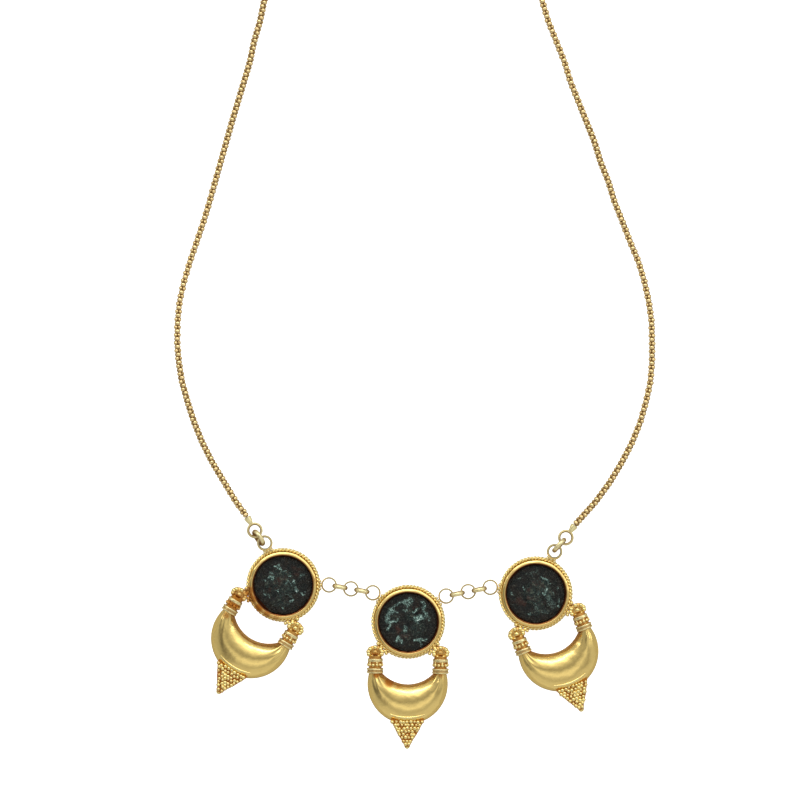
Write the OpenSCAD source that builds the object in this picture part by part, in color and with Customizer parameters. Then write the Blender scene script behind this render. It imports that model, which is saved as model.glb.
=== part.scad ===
// A necklace of three old coins in gold settings, laid flat with its chain closed.
// Millimetres. The coins face up, Y runs from the coins to the clasp, and the origin
// is in the middle of the centre setting's back.

/* [Settings] */
// Diameter of the round opening that shows a coin
window_d = 15.2; // [15:0.1:15.4]
// Width of the smooth rounded rim
rim_w = 0.8; // [0.75:0.05:0.85]
// Height of the rim above the setting's back
rim_h = 2.6; // [2.5:0.05:2.8]
// Thickness of the back plate behind a coin
plate_t = 0.5; // [0.4:0.05:0.6]
// Thickness of the rope wire round the rim
rope_d = 0.94; // [0.9:0.02:0.98]
// Number of ridges that show round the rope wire
rope_ridges = 60; // [52:4:64]

/* [Crescent and point] */
// Radius of the crescent's lower edge
crescent_r = 10.05; // [9.9:0.05:10.15]
// Radius of the crescent's upper edge, towards the coin
hollow_r = 8.8; // [8.7:0.05:8.9]
// Height of the puffed crescent at its middle
crescent_h = 3.3; // [3:0.1:3.6]
// Thickness of the crescent's thin edges
crescent_edge = 0.5; // [0.4:0.05:0.7]
// Length from the coin's middle to the tip of the point
tip_reach = 31.7; // [31.2:0.1:32]
// Diameter of a granule on the point
granule_d = 1.04; // [0.9:0.02:1.06]

/* [Coins] */
// Mean diameter of a coin
coin_d = 14.5; // [14:0.1:14.6]
// Thickness of a coin's field
coin_t = 1.2; // [1:0.05:1.4]
// Height of the worn relief above the field
relief_h = 0.36; // [0.2:0.02:0.5]

/* [Links] */
// Outer diameter of a flat-wire link
link_d = 3.95; // [3.93:0.01:3.97]
// Thickness of a link's wire
link_wall = 0.42; // [0.4:0.01:0.44]
// Thickness of the wire of a ring that a larger link hangs in
heavy_wall = 0.6; // [0.55:0.05:0.65]
// Width of a link's wire
link_band = 1.05; // [0.9:0.05:1.05]
// Outer diameter of the larger link that hangs an outer setting
hanger_d = 4.7; // [4.6:0.05:4.8]
// Outer diameter of the round ring on a chain's end
end_ring_d = 4; // [3.9:0.05:4.1]
// Diameter of that ring's wire
end_wire_d = 0.7; // [0.6:0.05:0.7]

/* [Chain] */
// Diameter of the chain
chain_d = 1.9; // [1.8:0.02:1.9]
// Diameter of the clasp's barrel
clasp_d = 2.8; // [2.4:0.1:3]
// Length of the clasp's barrel
clasp_len = 8; // [7:0.5:8]

/* [Hidden] */

$fn = 48;
GOLD = "goldenrod";
PALE = "khaki";
BRONZE = "darkslategray";

// Where each setting lies: middle of its coin, and its turn about that middle
LEFT_AT = [-31.25, 9.2];
LEFT_TURN = -31.1;
CENTRE_AT = [0, 0];
CENTRE_TURN = -0.5;
RIGHT_AT = [31.85, 7.1];
RIGHT_TURN = 21.5;

// Rings soldered to each setting: direction and thickness of the wire
LEFT_RINGS = [[0.6, link_wall], [113.2, heavy_wall]];
CENTRE_RINGS = [[140.2, link_wall], [34.7, link_wall]];
RIGHT_RINGS = [[171.9, link_wall], [66.1, heavy_wall]];

// Bezel
window_r = window_d / 2;
rim_top_r = rim_w / 2;
rim_mid_r = window_r + rim_top_r;
rope_r = rope_d / 2;
rope_mid_r = window_r + rim_w + rope_r - 0.06;
rope_z = 1.45;
rope_shift = 0.1;
rope_sides = 4;
rope_steps_per_ridge = 4;
base_t = 1.1;
base_r = rope_mid_r - 0.15;

// Soldered rings
link_r = link_d / 2;
link_z = link_r;
ring_reach = 11.5;
solder_r = 0.5;
solder_reach = ring_reach - link_r + link_wall - solder_r;
solder_side_r = 0.42;
solder_side_reach = 9.25;
solder_side_angle = 6;
solder_z = 1.75;

// Collars between the bezel and the crescent's horns
collar_x = 8.15;
collar_z = 1.5;
rosette_y = -7.55;
rosette_core_r = 1.5;
rosette_half_w = 1.72;
rosette_half_h = 1.22;
rosette_beads = 9;
rosette_bead_r = 0.58;
rosette_eye_r = 0.7;
rosette_z = 2.1;
collar_core_r = 1.55;
bead_row_y = -10.65;
bead_row_r = 0.5;
bead_row_mid_r = 1.6;
bead_row_step = 37;
bridge_r = 0.8;
// Each row: where the band begins, its width, its radius
BANDS = [[-9.1, 0.8, 1.9], [-11.5, 1.25, 2.1]];

// Crescent
crescent_y = -15.5;
hollow_y = -6.8;
horn_y = -12.3;
crescent_stations = 24;
crescent_steps = 9;
horn_h = 2.9;
puff = 0.6;

// Lip and granulated point below the crescent
lip_r = 0.28;
lip_mid_r = 11;
lip_y = -12.8;
lip_z = 2.35;
lip_half_angle = 23;
point_t = 1.6;
granule_r = granule_d / 2;
granule_pitch = 1.08;
granule_rows = 6;
granule_top_y = -25;
tip_r = 0.7;
// Half of the point's outline, from its corner to the tip
POINT_SIDE = [[4.2, -23.3], [4.1, -24.7], [2.4, -28], [1.15, -29.9], [0.6, -31.1]];

// Coins
coin_r = coin_d / 2;
coin_seat_gap = 0.04;
coin_rings = 17;
coin_spokes = 60;
coin_edge_drop = 0.25;
coin_edge_wave = 0.12;
// Worn relief as round-ended ridges, in units of the coin's radius.
// Each row: start x, start y, end x, end y, half width, height
LEFT_RELIEF = [
    [-0.12, 0.22, -0.02, 0.22, 0.38, 1],
    [0.12, 0.12, 0.12, -0.1, 0.24, 0.95],
    [0.27, 0.2, 0.31, 0.18, 0.08, 0.85],
    [0.33, 0.08, 0.38, -0.02, 0.08, 0.75],
    [0.31, -0.13, 0.32, -0.17, 0.06, 0.75],
    [0.22, -0.28, 0.26, -0.28, 0.09, 0.85],
    [-0.02, -0.15, -0.12, -0.5, 0.18, 0.8],
    [-0.34, -0.62, 0.14, -0.64, 0.12, 0.7],
    [-0.5, 0.06, -0.54, 0.02, 0.13, 0.9],
    [-0.46, 0.3, 0.24, 0.42, 0.07, 1.1],
    [-0.36, -0.1, -0.4, -0.34, 0.06, 0.6]];
CENTRE_RELIEF = [
    [-0.74, 0, -0.6, 0.5, 0.08, 0.9],
    [-0.6, 0.5, -0.25, 0.7, 0.08, 0.9],
    [-0.25, 0.7, 0.14, 0.77, 0.09, 0.9],
    [-0.53, 0.2, -0.53, 0.22, 0.2, 0.6],
    [-0.34, 0.14, -0.6, -0.06, 0.07, 0.9],
    [-0.6, -0.06, -0.7, -0.26, 0.07, 0.8],
    [0.28, 0.08, 0.44, 0.18, 0.14, 1.1],
    [0.17, 0.3, 0.36, 0.47, 0.07, 0.9],
    [0.5, 0.7, 0.62, 0.25, 0.07, 0.9],
    [0.31, -0.24, 0.33, -0.24, 0.3, 0.8],
    [-0.02, 0.45, 0.05, 0.2, 0.18, 0.7],
    [-0.1, -0.2, -0.3, -0.6, 0.08, 0.8],
    [0.22, -0.62, 0.56, -0.62, 0.07, 0.9],
    [-0.08, -0.5, 0.02, -0.54, 0.11, 0.8]];
RIGHT_RELIEF = [
    [0.02, 0.22, 0.12, 0.22, 0.36, 1],
    [-0.12, 0.12, -0.12, -0.1, 0.24, 0.95],
    [-0.31, 0.18, -0.27, 0.2, 0.08, 0.85],
    [-0.38, -0.02, -0.33, 0.08, 0.08, 0.75],
    [-0.32, -0.17, -0.31, -0.13, 0.06, 0.75],
    [-0.26, -0.28, -0.22, -0.28, 0.09, 0.85],
    [0.02, -0.15, 0.12, -0.5, 0.2, 0.8],
    [-0.14, -0.66, 0.38, -0.6, 0.12, 0.7],
    [0.17, 0.54, 0.41, 0.45, 0.08, 1],
    [0.42, 0.3, 0.5, -0.12, 0.1, 0.9],
    [0.5, -0.12, 0.42, -0.4, 0.08, 0.7]];
// Where each coin's round edge is worn flat: direction and distance from its middle
LEFT_FLAT = [222, 0.93];
CENTRE_FLAT = [128, 0.97];
RIGHT_FLAT = [135, 0.96];

// Chain
chain_r = chain_d / 2;
chain_z = 0.95;
chain_sides = 8;
end_ring_mid_r = (end_ring_d - end_wire_d) / 2;
end_wire_r = end_wire_d / 2;
end_ring_z = 1.3;
end_tilt = 5;
cap_from = end_ring_mid_r + 0.15;
cap_to = 4;
cap_tip_r = 0.5;
cap_r = 0.9;
cap_cone_len = 1.2;
chain_gap = 0.16;

// Hangers: middle, direction across the page, and lean from upright
LEFT_HANGER = [-37.3, 21.1];
LEFT_HANGER_DIR = 124;
LEFT_HANGER_LEAN = 17;
RIGHT_HANGER = [37.65, 19.25];
RIGHT_HANGER_DIR = 47;
RIGHT_HANGER_LEAN = -7;

// Front end rings of the two chains: middle and the chain's heading
LEFT_FRONT = [-38.3, 22.9];
LEFT_FRONT_DIR = 120;
RIGHT_FRONT = [39.35, 21.1];
RIGHT_FRONT_DIR = 54;

// Clasp and the links behind the neck
clasp_r = clasp_d / 2;
clasp_chamfer = 0.45;
CLASP_AT = [-1, 181.5];
eye_mid_r = 1.35;
eye_x = clasp_len / 2 + eye_mid_r + 0.15;
back_bend = 12;
back_link_reach = eye_mid_r + 0.75;
back_end_reach = back_link_reach + 0.75 + end_ring_mid_r;
back_dir = 22;

// Points that each chain passes, from the front end to the back end
LEFT_ROUTE = [
    [-43, 30], [-46, 35], [-49, 40], [-51.5, 45], [-53.5, 50], [-55, 55], [-56.5, 60],
    [-57.5, 65], [-58, 70], [-58, 75], [-57.5, 80], [-56, 85], [-54.5, 90], [-53, 95],
    [-51.5, 100], [-50, 105], [-48.5, 110], [-47, 115], [-45.5, 120], [-44, 125],
    [-42.5, 130], [-41, 135], [-39.5, 140], [-38.5, 145], [-37, 150], [-36, 155],
    [-34, 160], [-31.5, 165], [-28.5, 169.5], [-24.5, 173.5], [-19.5, 177]];
RIGHT_ROUTE = [
    [46.5, 30], [50, 35], [53, 40], [55.5, 45], [58, 50], [59.5, 55], [60.5, 60],
    [61, 65], [61, 70], [61, 75], [60, 80], [59, 85], [57.5, 90], [55.5, 95],
    [53.5, 100], [51.5, 105], [50, 110], [48, 115], [46.5, 120], [44.5, 125],
    [42.5, 130], [40.5, 135], [39, 140], [37, 145], [35, 150], [33.5, 155],
    [31.5, 160], [29, 165], [25.5, 169.5], [21.5, 173.5], [16.5, 177]];

function polar(r, a) = [r * cos(a), r * sin(a)];
function out(v, z) = [v[0], v[1], z];
function mix(a, b, t) = a + (b - a) * t;

module place(at, turn) {
    translate([at[0], at[1], 0]) rotate([0, 0, turn]) children();
}

// Cup that holds the coin: back plate, wall and rounded rim
module bezel() {
    difference() {
        union() {
            cylinder(r = base_r, h = base_t);
            cylinder(r = window_r + rim_w, h = rim_h - rim_top_r);
        }
        translate([0, 0, plate_t]) cylinder(r = window_r, h = rim_h);
    }
    translate([0, 0, rim_h - rim_top_r])
        rotate_extrude() translate([rim_mid_r, 0]) circle(r = rim_top_r);
}

// Rope wire: a square wire twisted along its length and closed into a hoop
rope_rows = rope_ridges * rope_steps_per_ridge;
function rope_corner(i, k) =
    let (around = 360 * i / rope_rows,
        twist = 360 / rope_sides * (i / rope_steps_per_ridge + k),
        reach = rope_mid_r + rope_r * cos(twist))
    out(polar(reach, around), rope_z + rope_r * sin(twist));
function hoop_faces(rows, points) =
    [for (j = [0 : rows - 1], i = [0 : points - 1], half = [0, 1])
        let (a = j * points + i, b = j * points + (i + 1) % points,
            c = (j + 1) % rows * points + i, d = (j + 1) % rows * points + (i + 1) % points)
            half == 0 ? [a, b, c] : [b, d, c]];
module rope() {
    polyhedron(
        points = [for (i = [0 : rope_rows - 1], k = [0 : rope_sides - 1]) rope_corner(i, k)],
        faces = hoop_faces(rope_rows, rope_sides),
        convexity = 8);
}

// A flat-wire ring, its axis along Z and its middle at the origin
module flat_ring(r, wall) {
    difference() {
        cylinder(r = r, h = link_band, center = true);
        cylinder(r = r - wall, h = link_band + 1, center = true);
    }
}

// A ring soldered to the rope, with three blobs of solder
module soldered_ring(angle, wall) {
    rotate([0, 0, angle]) {
        translate([ring_reach, 0, link_z]) flat_ring(link_r, wall);
        translate([solder_reach, 0, solder_z]) sphere(r = solder_r);
        for (s = [-1, 1])
            rotate([0, 0, s * solder_side_angle])
                translate([solder_side_reach, 0, solder_z]) sphere(r = solder_side_r);
    }
}

// A rod along Y from one place to another, cut flat where it meets the table
module flat_backed_rod(x, y, len, r) {
    intersection() {
        translate([x, y, collar_z]) rotate([90, 0, 0]) cylinder(r = r, h = len);
        translate([x - 2 * r, y - 2 * len, 0]) cube([4 * r, 3 * len, 4 * r]);
    }
}

// One collar: a rosette of beads, two flat bands and a row of granules between them
module collar(side) {
    x = side * collar_x;
    translate([x, rosette_y, 0]) cylinder(r = rosette_core_r, h = rosette_z);
    translate([x, rosette_y, rosette_z]) {
        sphere(r = rosette_eye_r);
        for (i = [0 : rosette_beads - 1])
            let (a = i * 360 / rosette_beads)
                translate([rosette_half_w * cos(a), rosette_half_h * sin(a), 0])
                    sphere(r = rosette_bead_r);
    }
    rotate([0, 0, atan2(rosette_y, x)])
        translate([rope_mid_r - 0.6, 0, base_t])
            rotate([0, 90, 0]) cylinder(r = bridge_r, h = 2);
    flat_backed_rod(x, rosette_y, rosette_y - horn_y, collar_core_r);
    for (band = BANDS) flat_backed_rod(x, band[0], band[1], band[2]);
    for (i = [-2 : 2])
        translate([
            x + bead_row_mid_r * sin(i * bead_row_step),
            bead_row_y,
            collar_z + bead_row_mid_r * cos(i * bead_row_step)])
            sphere(r = bead_row_r);
}

// The crescent is lofted from horn to horn through domed sections
hollow_angle = acos((hollow_y - horn_y) / hollow_r);
crescent_angle = acos((crescent_y - horn_y) / crescent_r);
function hollow_edge(u) = [0, hollow_y] + polar(hollow_r, u * hollow_angle - 90);
function lower_edge(u) = [0, crescent_y] + polar(crescent_r, u * crescent_angle - 90);
function crescent_top(u) = mix(horn_h, crescent_h, pow(cos(u * 90), 0.8)) - crescent_edge;
function crescent_section(u) = concat(
    [out(hollow_edge(u), 0)],
    [for (k = [0 : crescent_steps])
        out(mix(hollow_edge(u), lower_edge(u), k / crescent_steps),
            crescent_edge + crescent_top(u) * pow(sin(180 * k / crescent_steps), puff))],
    [out(lower_edge(u), 0)]);

// Skin over rows of points of equal length; the first and last rows are capped
function loft_faces(rows, points) = concat(
    [[for (i = [0 : points - 1]) i]],
    [for (j = [0 : rows - 2], i = [0 : points - 1], half = [0, 1])
        let (a = j * points + i, b = j * points + (i + 1) % points)
            half == 0 ? [a, a + points, b] : [b, a + points, b + points]],
    [[for (i = [points - 1 : -1 : 0]) (rows - 1) * points + i]]);

module loft(rows) {
    polyhedron(
        points = [for (row = rows) for (p = row) p],
        faces = loft_faces(len(rows), len(rows[0])),
        convexity = 6);
}

module crescent() {
    loft([for (j = [0 : crescent_stations])
        crescent_section(2 * j / crescent_stations - 1)]);
}

// Granulated point: a flat plate, rows of granules, a tip bead and the lip above
module point() {
    linear_extrude(point_t)
        polygon(concat(POINT_SIDE, [for (i = [len(POINT_SIDE) - 1 : -1 : 0])
            [-POINT_SIDE[i][0], POINT_SIDE[i][1]]]));
    for (row = [0 : granule_rows - 1])
        for (i = [0 : granule_rows - row])
            translate([
                (i - (granule_rows - row) / 2) * granule_pitch,
                granule_top_y - row * granule_pitch * sin(60),
                point_t])
                sphere(r = granule_r);
    translate([0, tip_r - tip_reach, point_t - tip_r]) sphere(r = tip_r);
    translate([0, lip_y, lip_z])
        rotate([0, 0, -90 - lip_half_angle])
            rotate_extrude(angle = 2 * lip_half_angle) translate([lip_mid_r, 0]) circle(r = lip_r);
}

// One whole setting; its soldered rings keep their own directions on the page
module setting(at, turn, rings) {
    color(GOLD) {
        place(at, turn) {
            bezel();
            translate([0, rope_shift, 0]) rope();
            collar(-1);
            collar(1);
            crescent();
            point();
        }
        for (ring = rings) place(at, 0) soldered_ring(ring[0], ring[1]);
    }
}

module left_setting() { setting(LEFT_AT, LEFT_TURN, LEFT_RINGS); }
module centre_setting() { setting(CENTRE_AT, CENTRE_TURN, CENTRE_RINGS); }
module right_setting() { setting(RIGHT_AT, RIGHT_TURN, RIGHT_RINGS); }

// Height of the relief at a point of the coin: the highest ridge that covers it
function ridge(p, row) =
    let (a = [row[0], row[1]], b = [row[2], row[3]], along = b - a,
        t = min(1, max(0, (p - a) * along / (along * along))),
        near = norm(p - a - along * t) / row[4])
    near < 1 ? row[5] * sqrt(1 - near * near) : 0;
function relief(p, rows) = max([for (row = rows) ridge(p, row)]);

// Reach of the coin's edge in a direction: a little wavy, with one side worn flat
function edge_reach(angle, flat) =
    let (wavy = coin_r - coin_edge_wave * (1 + sin(3 * angle + flat[0])) / 2,
        facing = cos(angle - flat[0]))
    facing > 0.2 ? min(wavy, coin_r * flat[1] / facing) : wavy;
function coin_ring(j, z, flat, rows) =
    let (share = 1 - j / coin_rings, drop = coin_edge_drop * pow(share, 12))
    [for (i = [0 : coin_spokes - 1])
        let (angle = 360 * i / coin_spokes, p = polar(max(share, 0.002), angle))
            out(edge_reach(angle, flat) * p, z - drop + relief_h * relief(p, rows))];
function coin_foot(z, flat) =
    [for (i = [0 : coin_spokes - 1])
        let (angle = 360 * i / coin_spokes) out(edge_reach(angle, flat) * polar(1, angle), z)];

// A struck coin: a plain back, a wavy edge and the worn relief on its face
module coin(at, flat, rows) {
    seat = plate_t + coin_seat_gap;
    color(BRONZE) place(at, 0)
        loft(concat(
            [coin_foot(seat, flat)],
            [for (j = [0 : coin_rings]) coin_ring(j, seat + coin_t, flat, rows)]));
}
module left_coin() { coin(LEFT_AT, LEFT_FLAT, LEFT_RELIEF); }
module centre_coin() { coin(CENTRE_AT, CENTRE_FLAT, CENTRE_RELIEF); }
module right_coin() { coin(RIGHT_AT, RIGHT_FLAT, RIGHT_RELIEF); }

// A flat-wire ring that stands on its rim along dir, leaning from upright
module standing_ring(at, dir, lean, r, wall) {
    z = r * cos(lean) + link_band / 2 * sin(abs(lean));
    color(PALE)
        translate(out(at, z)) rotate([0, 0, dir]) rotate([90 + lean, 0, 0]) flat_ring(r, wall);
}

// Three links between two soldered rings: standing, lying, standing
function ring_centre(at, angle) = at + polar(ring_reach, angle);
function heading(v) = atan2(v[1], v[0]);
module string_link(from, to, k) {
    at = mix(from, to, k / 4);
    if (k == 2)
        color(PALE) translate(out(at, link_z)) flat_ring(link_r, link_wall);
    else
        standing_ring(at, heading(to - from), 0, link_r, link_wall);
}
LEFT_FROM = ring_centre(LEFT_AT, LEFT_RINGS[0][0]);
LEFT_TO = ring_centre(CENTRE_AT, CENTRE_RINGS[0][0]);
RIGHT_FROM = ring_centre(RIGHT_AT, RIGHT_RINGS[0][0]);
RIGHT_TO = ring_centre(CENTRE_AT, CENTRE_RINGS[1][0]);
module left_link_1() { string_link(LEFT_FROM, LEFT_TO, 1); }
module left_link_2() { string_link(LEFT_FROM, LEFT_TO, 2); }
module left_link_3() { string_link(LEFT_FROM, LEFT_TO, 3); }
module right_link_1() { string_link(RIGHT_FROM, RIGHT_TO, 1); }
module right_link_2() { string_link(RIGHT_FROM, RIGHT_TO, 2); }
module right_link_3() { string_link(RIGHT_FROM, RIGHT_TO, 3); }

// Larger links that hang the outer settings from the chains
module hanger(at, dir, lean) { standing_ring(at, dir, lean, hanger_d / 2, link_wall); }
module left_hanger() { hanger(LEFT_HANGER, LEFT_HANGER_DIR, LEFT_HANGER_LEAN); }
module right_hanger() { hanger(RIGHT_HANGER, RIGHT_HANGER_DIR, RIGHT_HANGER_LEAN); }

// A chain's end: a round-wire ring soldered to the cap that holds the last link
module chain_end(at, dir) {
    color(GOLD) translate(out(at, end_ring_z)) rotate([0, end_tilt, dir]) {
        rotate_extrude() translate([end_ring_mid_r, 0]) circle(r = end_wire_r);
        translate([cap_from, 0, 0]) rotate([0, 90, 0]) {
            cylinder(r1 = cap_tip_r, r2 = cap_r, h = cap_cone_len);
            translate([0, 0, cap_cone_len])
                cylinder(r = cap_r, h = cap_to - chain_gap - cap_from - cap_cone_len);
        }
    }
}
function back_at(side, reach) =
    CLASP_AT + [side * eye_x, 0] + reach * [side * cos(back_bend), -sin(back_bend)];
module left_front_end() { chain_end(LEFT_FRONT, LEFT_FRONT_DIR); }
module right_front_end() { chain_end(RIGHT_FRONT, RIGHT_FRONT_DIR); }
module left_back_end() { chain_end(back_at(-1, back_end_reach), back_dir - 180); }
module right_back_end() { chain_end(back_at(1, back_end_reach), -back_dir); }
module left_back_link() {
    standing_ring(back_at(-1, back_link_reach), 180 + back_bend, 0, link_r, link_wall);
}
module right_back_link() {
    standing_ring(back_at(1, back_link_reach), -back_bend, 0, link_r, link_wall);
}

// The chain: one tube swept along the points of its route, cut square to each end cap
function chain_headings(route, front_cap, back_cap) =
    let (last = len(route) - 1,
        steps = [for (j = [0 : last - 1]) heading(route[j + 1] - route[j])])
    concat(
        [[front_cap, 1]],
        [for (j = [1 : last - 1])
            [(steps[j - 1] + steps[j]) / 2, 1 / cos((steps[j] - steps[j - 1]) / 2)]],
        [[back_cap + 180, 1]]);
function chain_row(at, turn) =
    [for (k = [0 : chain_sides - 1])
        let (a = 360 * (k + 0.5) / chain_sides,
            across = polar(chain_r * cos(a) * turn[1], turn[0] + 90))
            out(at + across, chain_z + chain_r * sin(a))];
module chain(front, front_cap, points, back, back_cap) {
    route = concat(
        [front + polar(cap_to, front_cap)], points, [back + polar(cap_to, back_cap)]);
    turns = chain_headings(route, front_cap, back_cap);
    color(GOLD) loft([for (j = [0 : len(route) - 1]) chain_row(route[j], turns[j])]);
}
module left_chain() {
    chain(LEFT_FRONT, LEFT_FRONT_DIR, LEFT_ROUTE,
        back_at(-1, back_end_reach), back_dir - 180);
}
module right_chain() {
    chain(RIGHT_FRONT, RIGHT_FRONT_DIR, RIGHT_ROUTE, back_at(1, back_end_reach), -back_dir);
}

// The clasp: a plain barrel with an eye at each end
module clasp() {
    color(GOLD) translate(out(CLASP_AT, clasp_r)) {
        rotate([0, 90, 0]) rotate_extrude() polygon([
            [0, -clasp_len / 2], [clasp_r - clasp_chamfer, -clasp_len / 2],
            [clasp_r, clasp_chamfer - clasp_len / 2], [clasp_r, clasp_len / 2 - clasp_chamfer],
            [clasp_r - clasp_chamfer, clasp_len / 2], [0, clasp_len / 2]]);
        for (side = [-1, 1])
            translate([side * eye_x, 0, 0])
                rotate_extrude() translate([eye_mid_r, 0]) circle(r = end_wire_r);
    }
}

left_setting();
centre_setting();
right_setting();
left_coin();
centre_coin();
right_coin();
left_link_1();
left_link_2();
left_link_3();
right_link_1();
right_link_2();
right_link_3();
left_hanger();
right_hanger();
left_front_end();
right_front_end();
left_chain();
right_chain();
left_back_end();
right_back_end();
left_back_link();
right_back_link();
clasp();
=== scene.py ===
# %% [markdown]
# # A necklace of three old coins
# Three worn bronze coins sit in round gold settings. Below each coin a puffed crescent hangs
# from two beaded collars and ends in a granulated point. Small flat links join the settings in
# a row, and a popcorn chain closes the loop. The necklace lies flat on a white table and is
# seen from straight above. The solids give every piece its place, and each step below makes
# the piece that is seen there.

# %% Load the solids
import math

import bmesh
import bpy
from mathutils import Matrix, Vector, noise


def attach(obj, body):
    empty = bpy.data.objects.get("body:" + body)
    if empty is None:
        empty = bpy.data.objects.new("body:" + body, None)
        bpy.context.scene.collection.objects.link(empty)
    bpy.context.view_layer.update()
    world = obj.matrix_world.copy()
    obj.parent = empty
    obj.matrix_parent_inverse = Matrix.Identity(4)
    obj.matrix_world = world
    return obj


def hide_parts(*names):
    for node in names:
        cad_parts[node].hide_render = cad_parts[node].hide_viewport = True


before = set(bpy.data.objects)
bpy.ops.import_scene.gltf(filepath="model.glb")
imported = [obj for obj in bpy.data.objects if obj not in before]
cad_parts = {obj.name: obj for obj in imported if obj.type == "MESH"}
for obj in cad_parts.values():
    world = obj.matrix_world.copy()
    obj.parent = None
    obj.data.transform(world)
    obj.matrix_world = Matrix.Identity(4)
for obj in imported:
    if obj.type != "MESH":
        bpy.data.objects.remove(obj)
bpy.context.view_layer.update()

# %% [markdown]
# ## Table, camera and light
# Jewellery is photographed on a white table under large soft lights. Polished gold shows
# little of its own colour: it shows what is round it. So the studio's brightness is drawn as
# soft bands, from straight above down to the table, and the gold picks up pale bands with
# brown ones beside them. Three panels add the glints.

# %% Camera straight above
MM = 0.001
PHOTO_MIDDLE = Vector((-2.05, 55.45, 0)) * MM
PHOTO_WIDTH = 0.2
CAMERA_HEIGHT = 0.9
SENSOR_MM = 36

lens_mm = SENSOR_MM * CAMERA_HEIGHT / PHOTO_WIDTH
camera_data = bpy.data.cameras.new("camera")
camera_data.lens = lens_mm
camera_data.sensor_width = SENSOR_MM
camera_data.clip_start = 0.05
camera = bpy.data.objects.new("camera", camera_data)
camera.location = PHOTO_MIDDLE + Vector((0, 0, CAMERA_HEIGHT))
bpy.context.scene.collection.objects.link(camera)
bpy.context.scene.camera = camera
bpy.context.scene.view_settings.view_transform = "Standard"
print("lens", round(lens_mm, 1), "mm")

# %% Node helpers
MIX_FACTOR, MIX_FIRST, MIX_SECOND, MIX_COLOUR = 0, 6, 7, 2


def add_node(tree, kind, **settings):
    """A new node with its properties set"""
    made = tree.nodes.new(kind)
    for key, value in settings.items():
        setattr(made, key, value)
    return made


def mixed(tree, factor, a, b, blend_type="MIX"):
    """Colour a turned into colour b by factor; each is a socket or an RGB triple"""
    made = add_node(tree, "ShaderNodeMix", data_type="RGBA", blend_type=blend_type)
    tree.links.new(factor, made.inputs[MIX_FACTOR])
    for socket, value in ((made.inputs[MIX_FIRST], a), (made.inputs[MIX_SECOND], b)):
        if isinstance(value, tuple):
            socket.default_value = (*value, 1)
        else:
            tree.links.new(value, socket)
    return made.outputs[MIX_COLOUR]


def ranged(tree, value, low, high, to_low=0.0, to_high=1.0):
    """value moved from low..high to to_low..to_high, clamped"""
    made = add_node(tree, "ShaderNodeMapRange")
    tree.links.new(value, made.inputs["Value"])
    keys = ("From Min", "From Max", "To Min", "To Max")
    for key, number in zip(keys, (low, high, to_low, to_high)):
        made.inputs[key].default_value = number
    return made.outputs["Result"]


def new_material(name):
    """A material with its Principled shader at hand"""
    material = bpy.data.materials.new(name)
    material.use_nodes = True
    return material, material.node_tree, material.node_tree.nodes["Principled BSDF"]


# %% Table
TABLE_REACH = 3
# What the gold sees of the paper, and what the camera sees of it
PAPER_IN_GOLD = (0.62, 0.6, 0.54)
PAPER_IN_PHOTO = (0.95, 0.95, 0.95)

table_bm = bmesh.new()
bmesh.ops.create_grid(table_bm, x_segments=1, y_segments=1, size=TABLE_REACH)
table_mesh = bpy.data.meshes.new("table")
table_bm.to_mesh(table_mesh)
table_bm.free()
paper, paper_tree, paper_shader = new_material("white paper")
paper_shader.inputs["Roughness"].default_value = 0.9
paper_shader.inputs["Specular IOR Level"].default_value = 0.1
paper_shader.inputs["Emission Color"].default_value = (1, 1, 1, 1)
seen = add_node(paper_tree, "ShaderNodeLightPath").outputs["Is Camera Ray"]
paper_tone = mixed(paper_tree, seen, PAPER_IN_GOLD, PAPER_IN_PHOTO)
paper_tree.links.new(paper_tone, paper_shader.inputs["Base Color"])
paper_tree.links.new(seen, paper_shader.inputs["Emission Strength"])
table_mesh.materials.append(paper)
table = bpy.data.objects.new("table", table_mesh)
bpy.context.scene.collection.objects.link(table)
print("table", 2 * TABLE_REACH, "m wide")

# %% Brightness by direction
# Brightness from straight up (0) down to the table's level (1), towards the page's top edge
UPPER_STOPS = [
    (0.0, 0.33), (0.1, 0.37), (0.2, 0.46), (0.36, 0.62), (0.5, 0.95), (0.64, 1.6), (0.8, 1.6),
    (0.9, 0.95), (1.0, 0.55)]
# The same towards the page's bottom edge
LOWER_STOPS = [
    (0.0, 0.36), (0.1, 0.5), (0.18, 0.66), (0.32, 0.84), (0.45, 0.9), (0.57, 0.66), (0.7, 0.48),
    (0.85, 0.62), (1.0, 0.65)]
# A factor on both, from the left (0) to the right (1)
SIDE_STOPS = [
    (0.0, 0.15), (0.08, 0.3), (0.22, 0.9), (0.32, 1.0), (0.75, 1.0), (0.85, 0.95), (0.95, 0.7),
    (1.0, 0.6)]
# How much that factor counts, from straight up (0) to the table's level (1)
SIDE_COUNTS = [(0.0, 0.0), (0.3, 0.35), (0.55, 0.9), (0.75, 0.9), (0.93, 0.4), (1.0, 0.25)]
# How far to each side of the middle the upper and lower halves run into one another
BAND_OVERLAP = 0.4


def new_ramp(tree, value, stops):
    """A colour ramp of greys over a value from 0 to 1"""
    made = add_node(tree, "ShaderNodeValToRGB")
    made.color_ramp.interpolation = "EASE"
    elements = made.color_ramp.elements
    for index, (place, grey) in enumerate(stops):
        stop = elements[index] if index < 2 else elements.new(place)
        stop.position = place
        stop.color = (grey, grey, grey, 1)
    tree.links.new(value, made.inputs["Fac"])
    return made.outputs["Color"]


# %% Light of the room
def vector_math(tree, operation, vector):
    """One Vector Math node on one vector"""
    made = add_node(tree, "ShaderNodeVectorMath", operation=operation)
    tree.links.new(vector, made.inputs[0])
    return made


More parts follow.
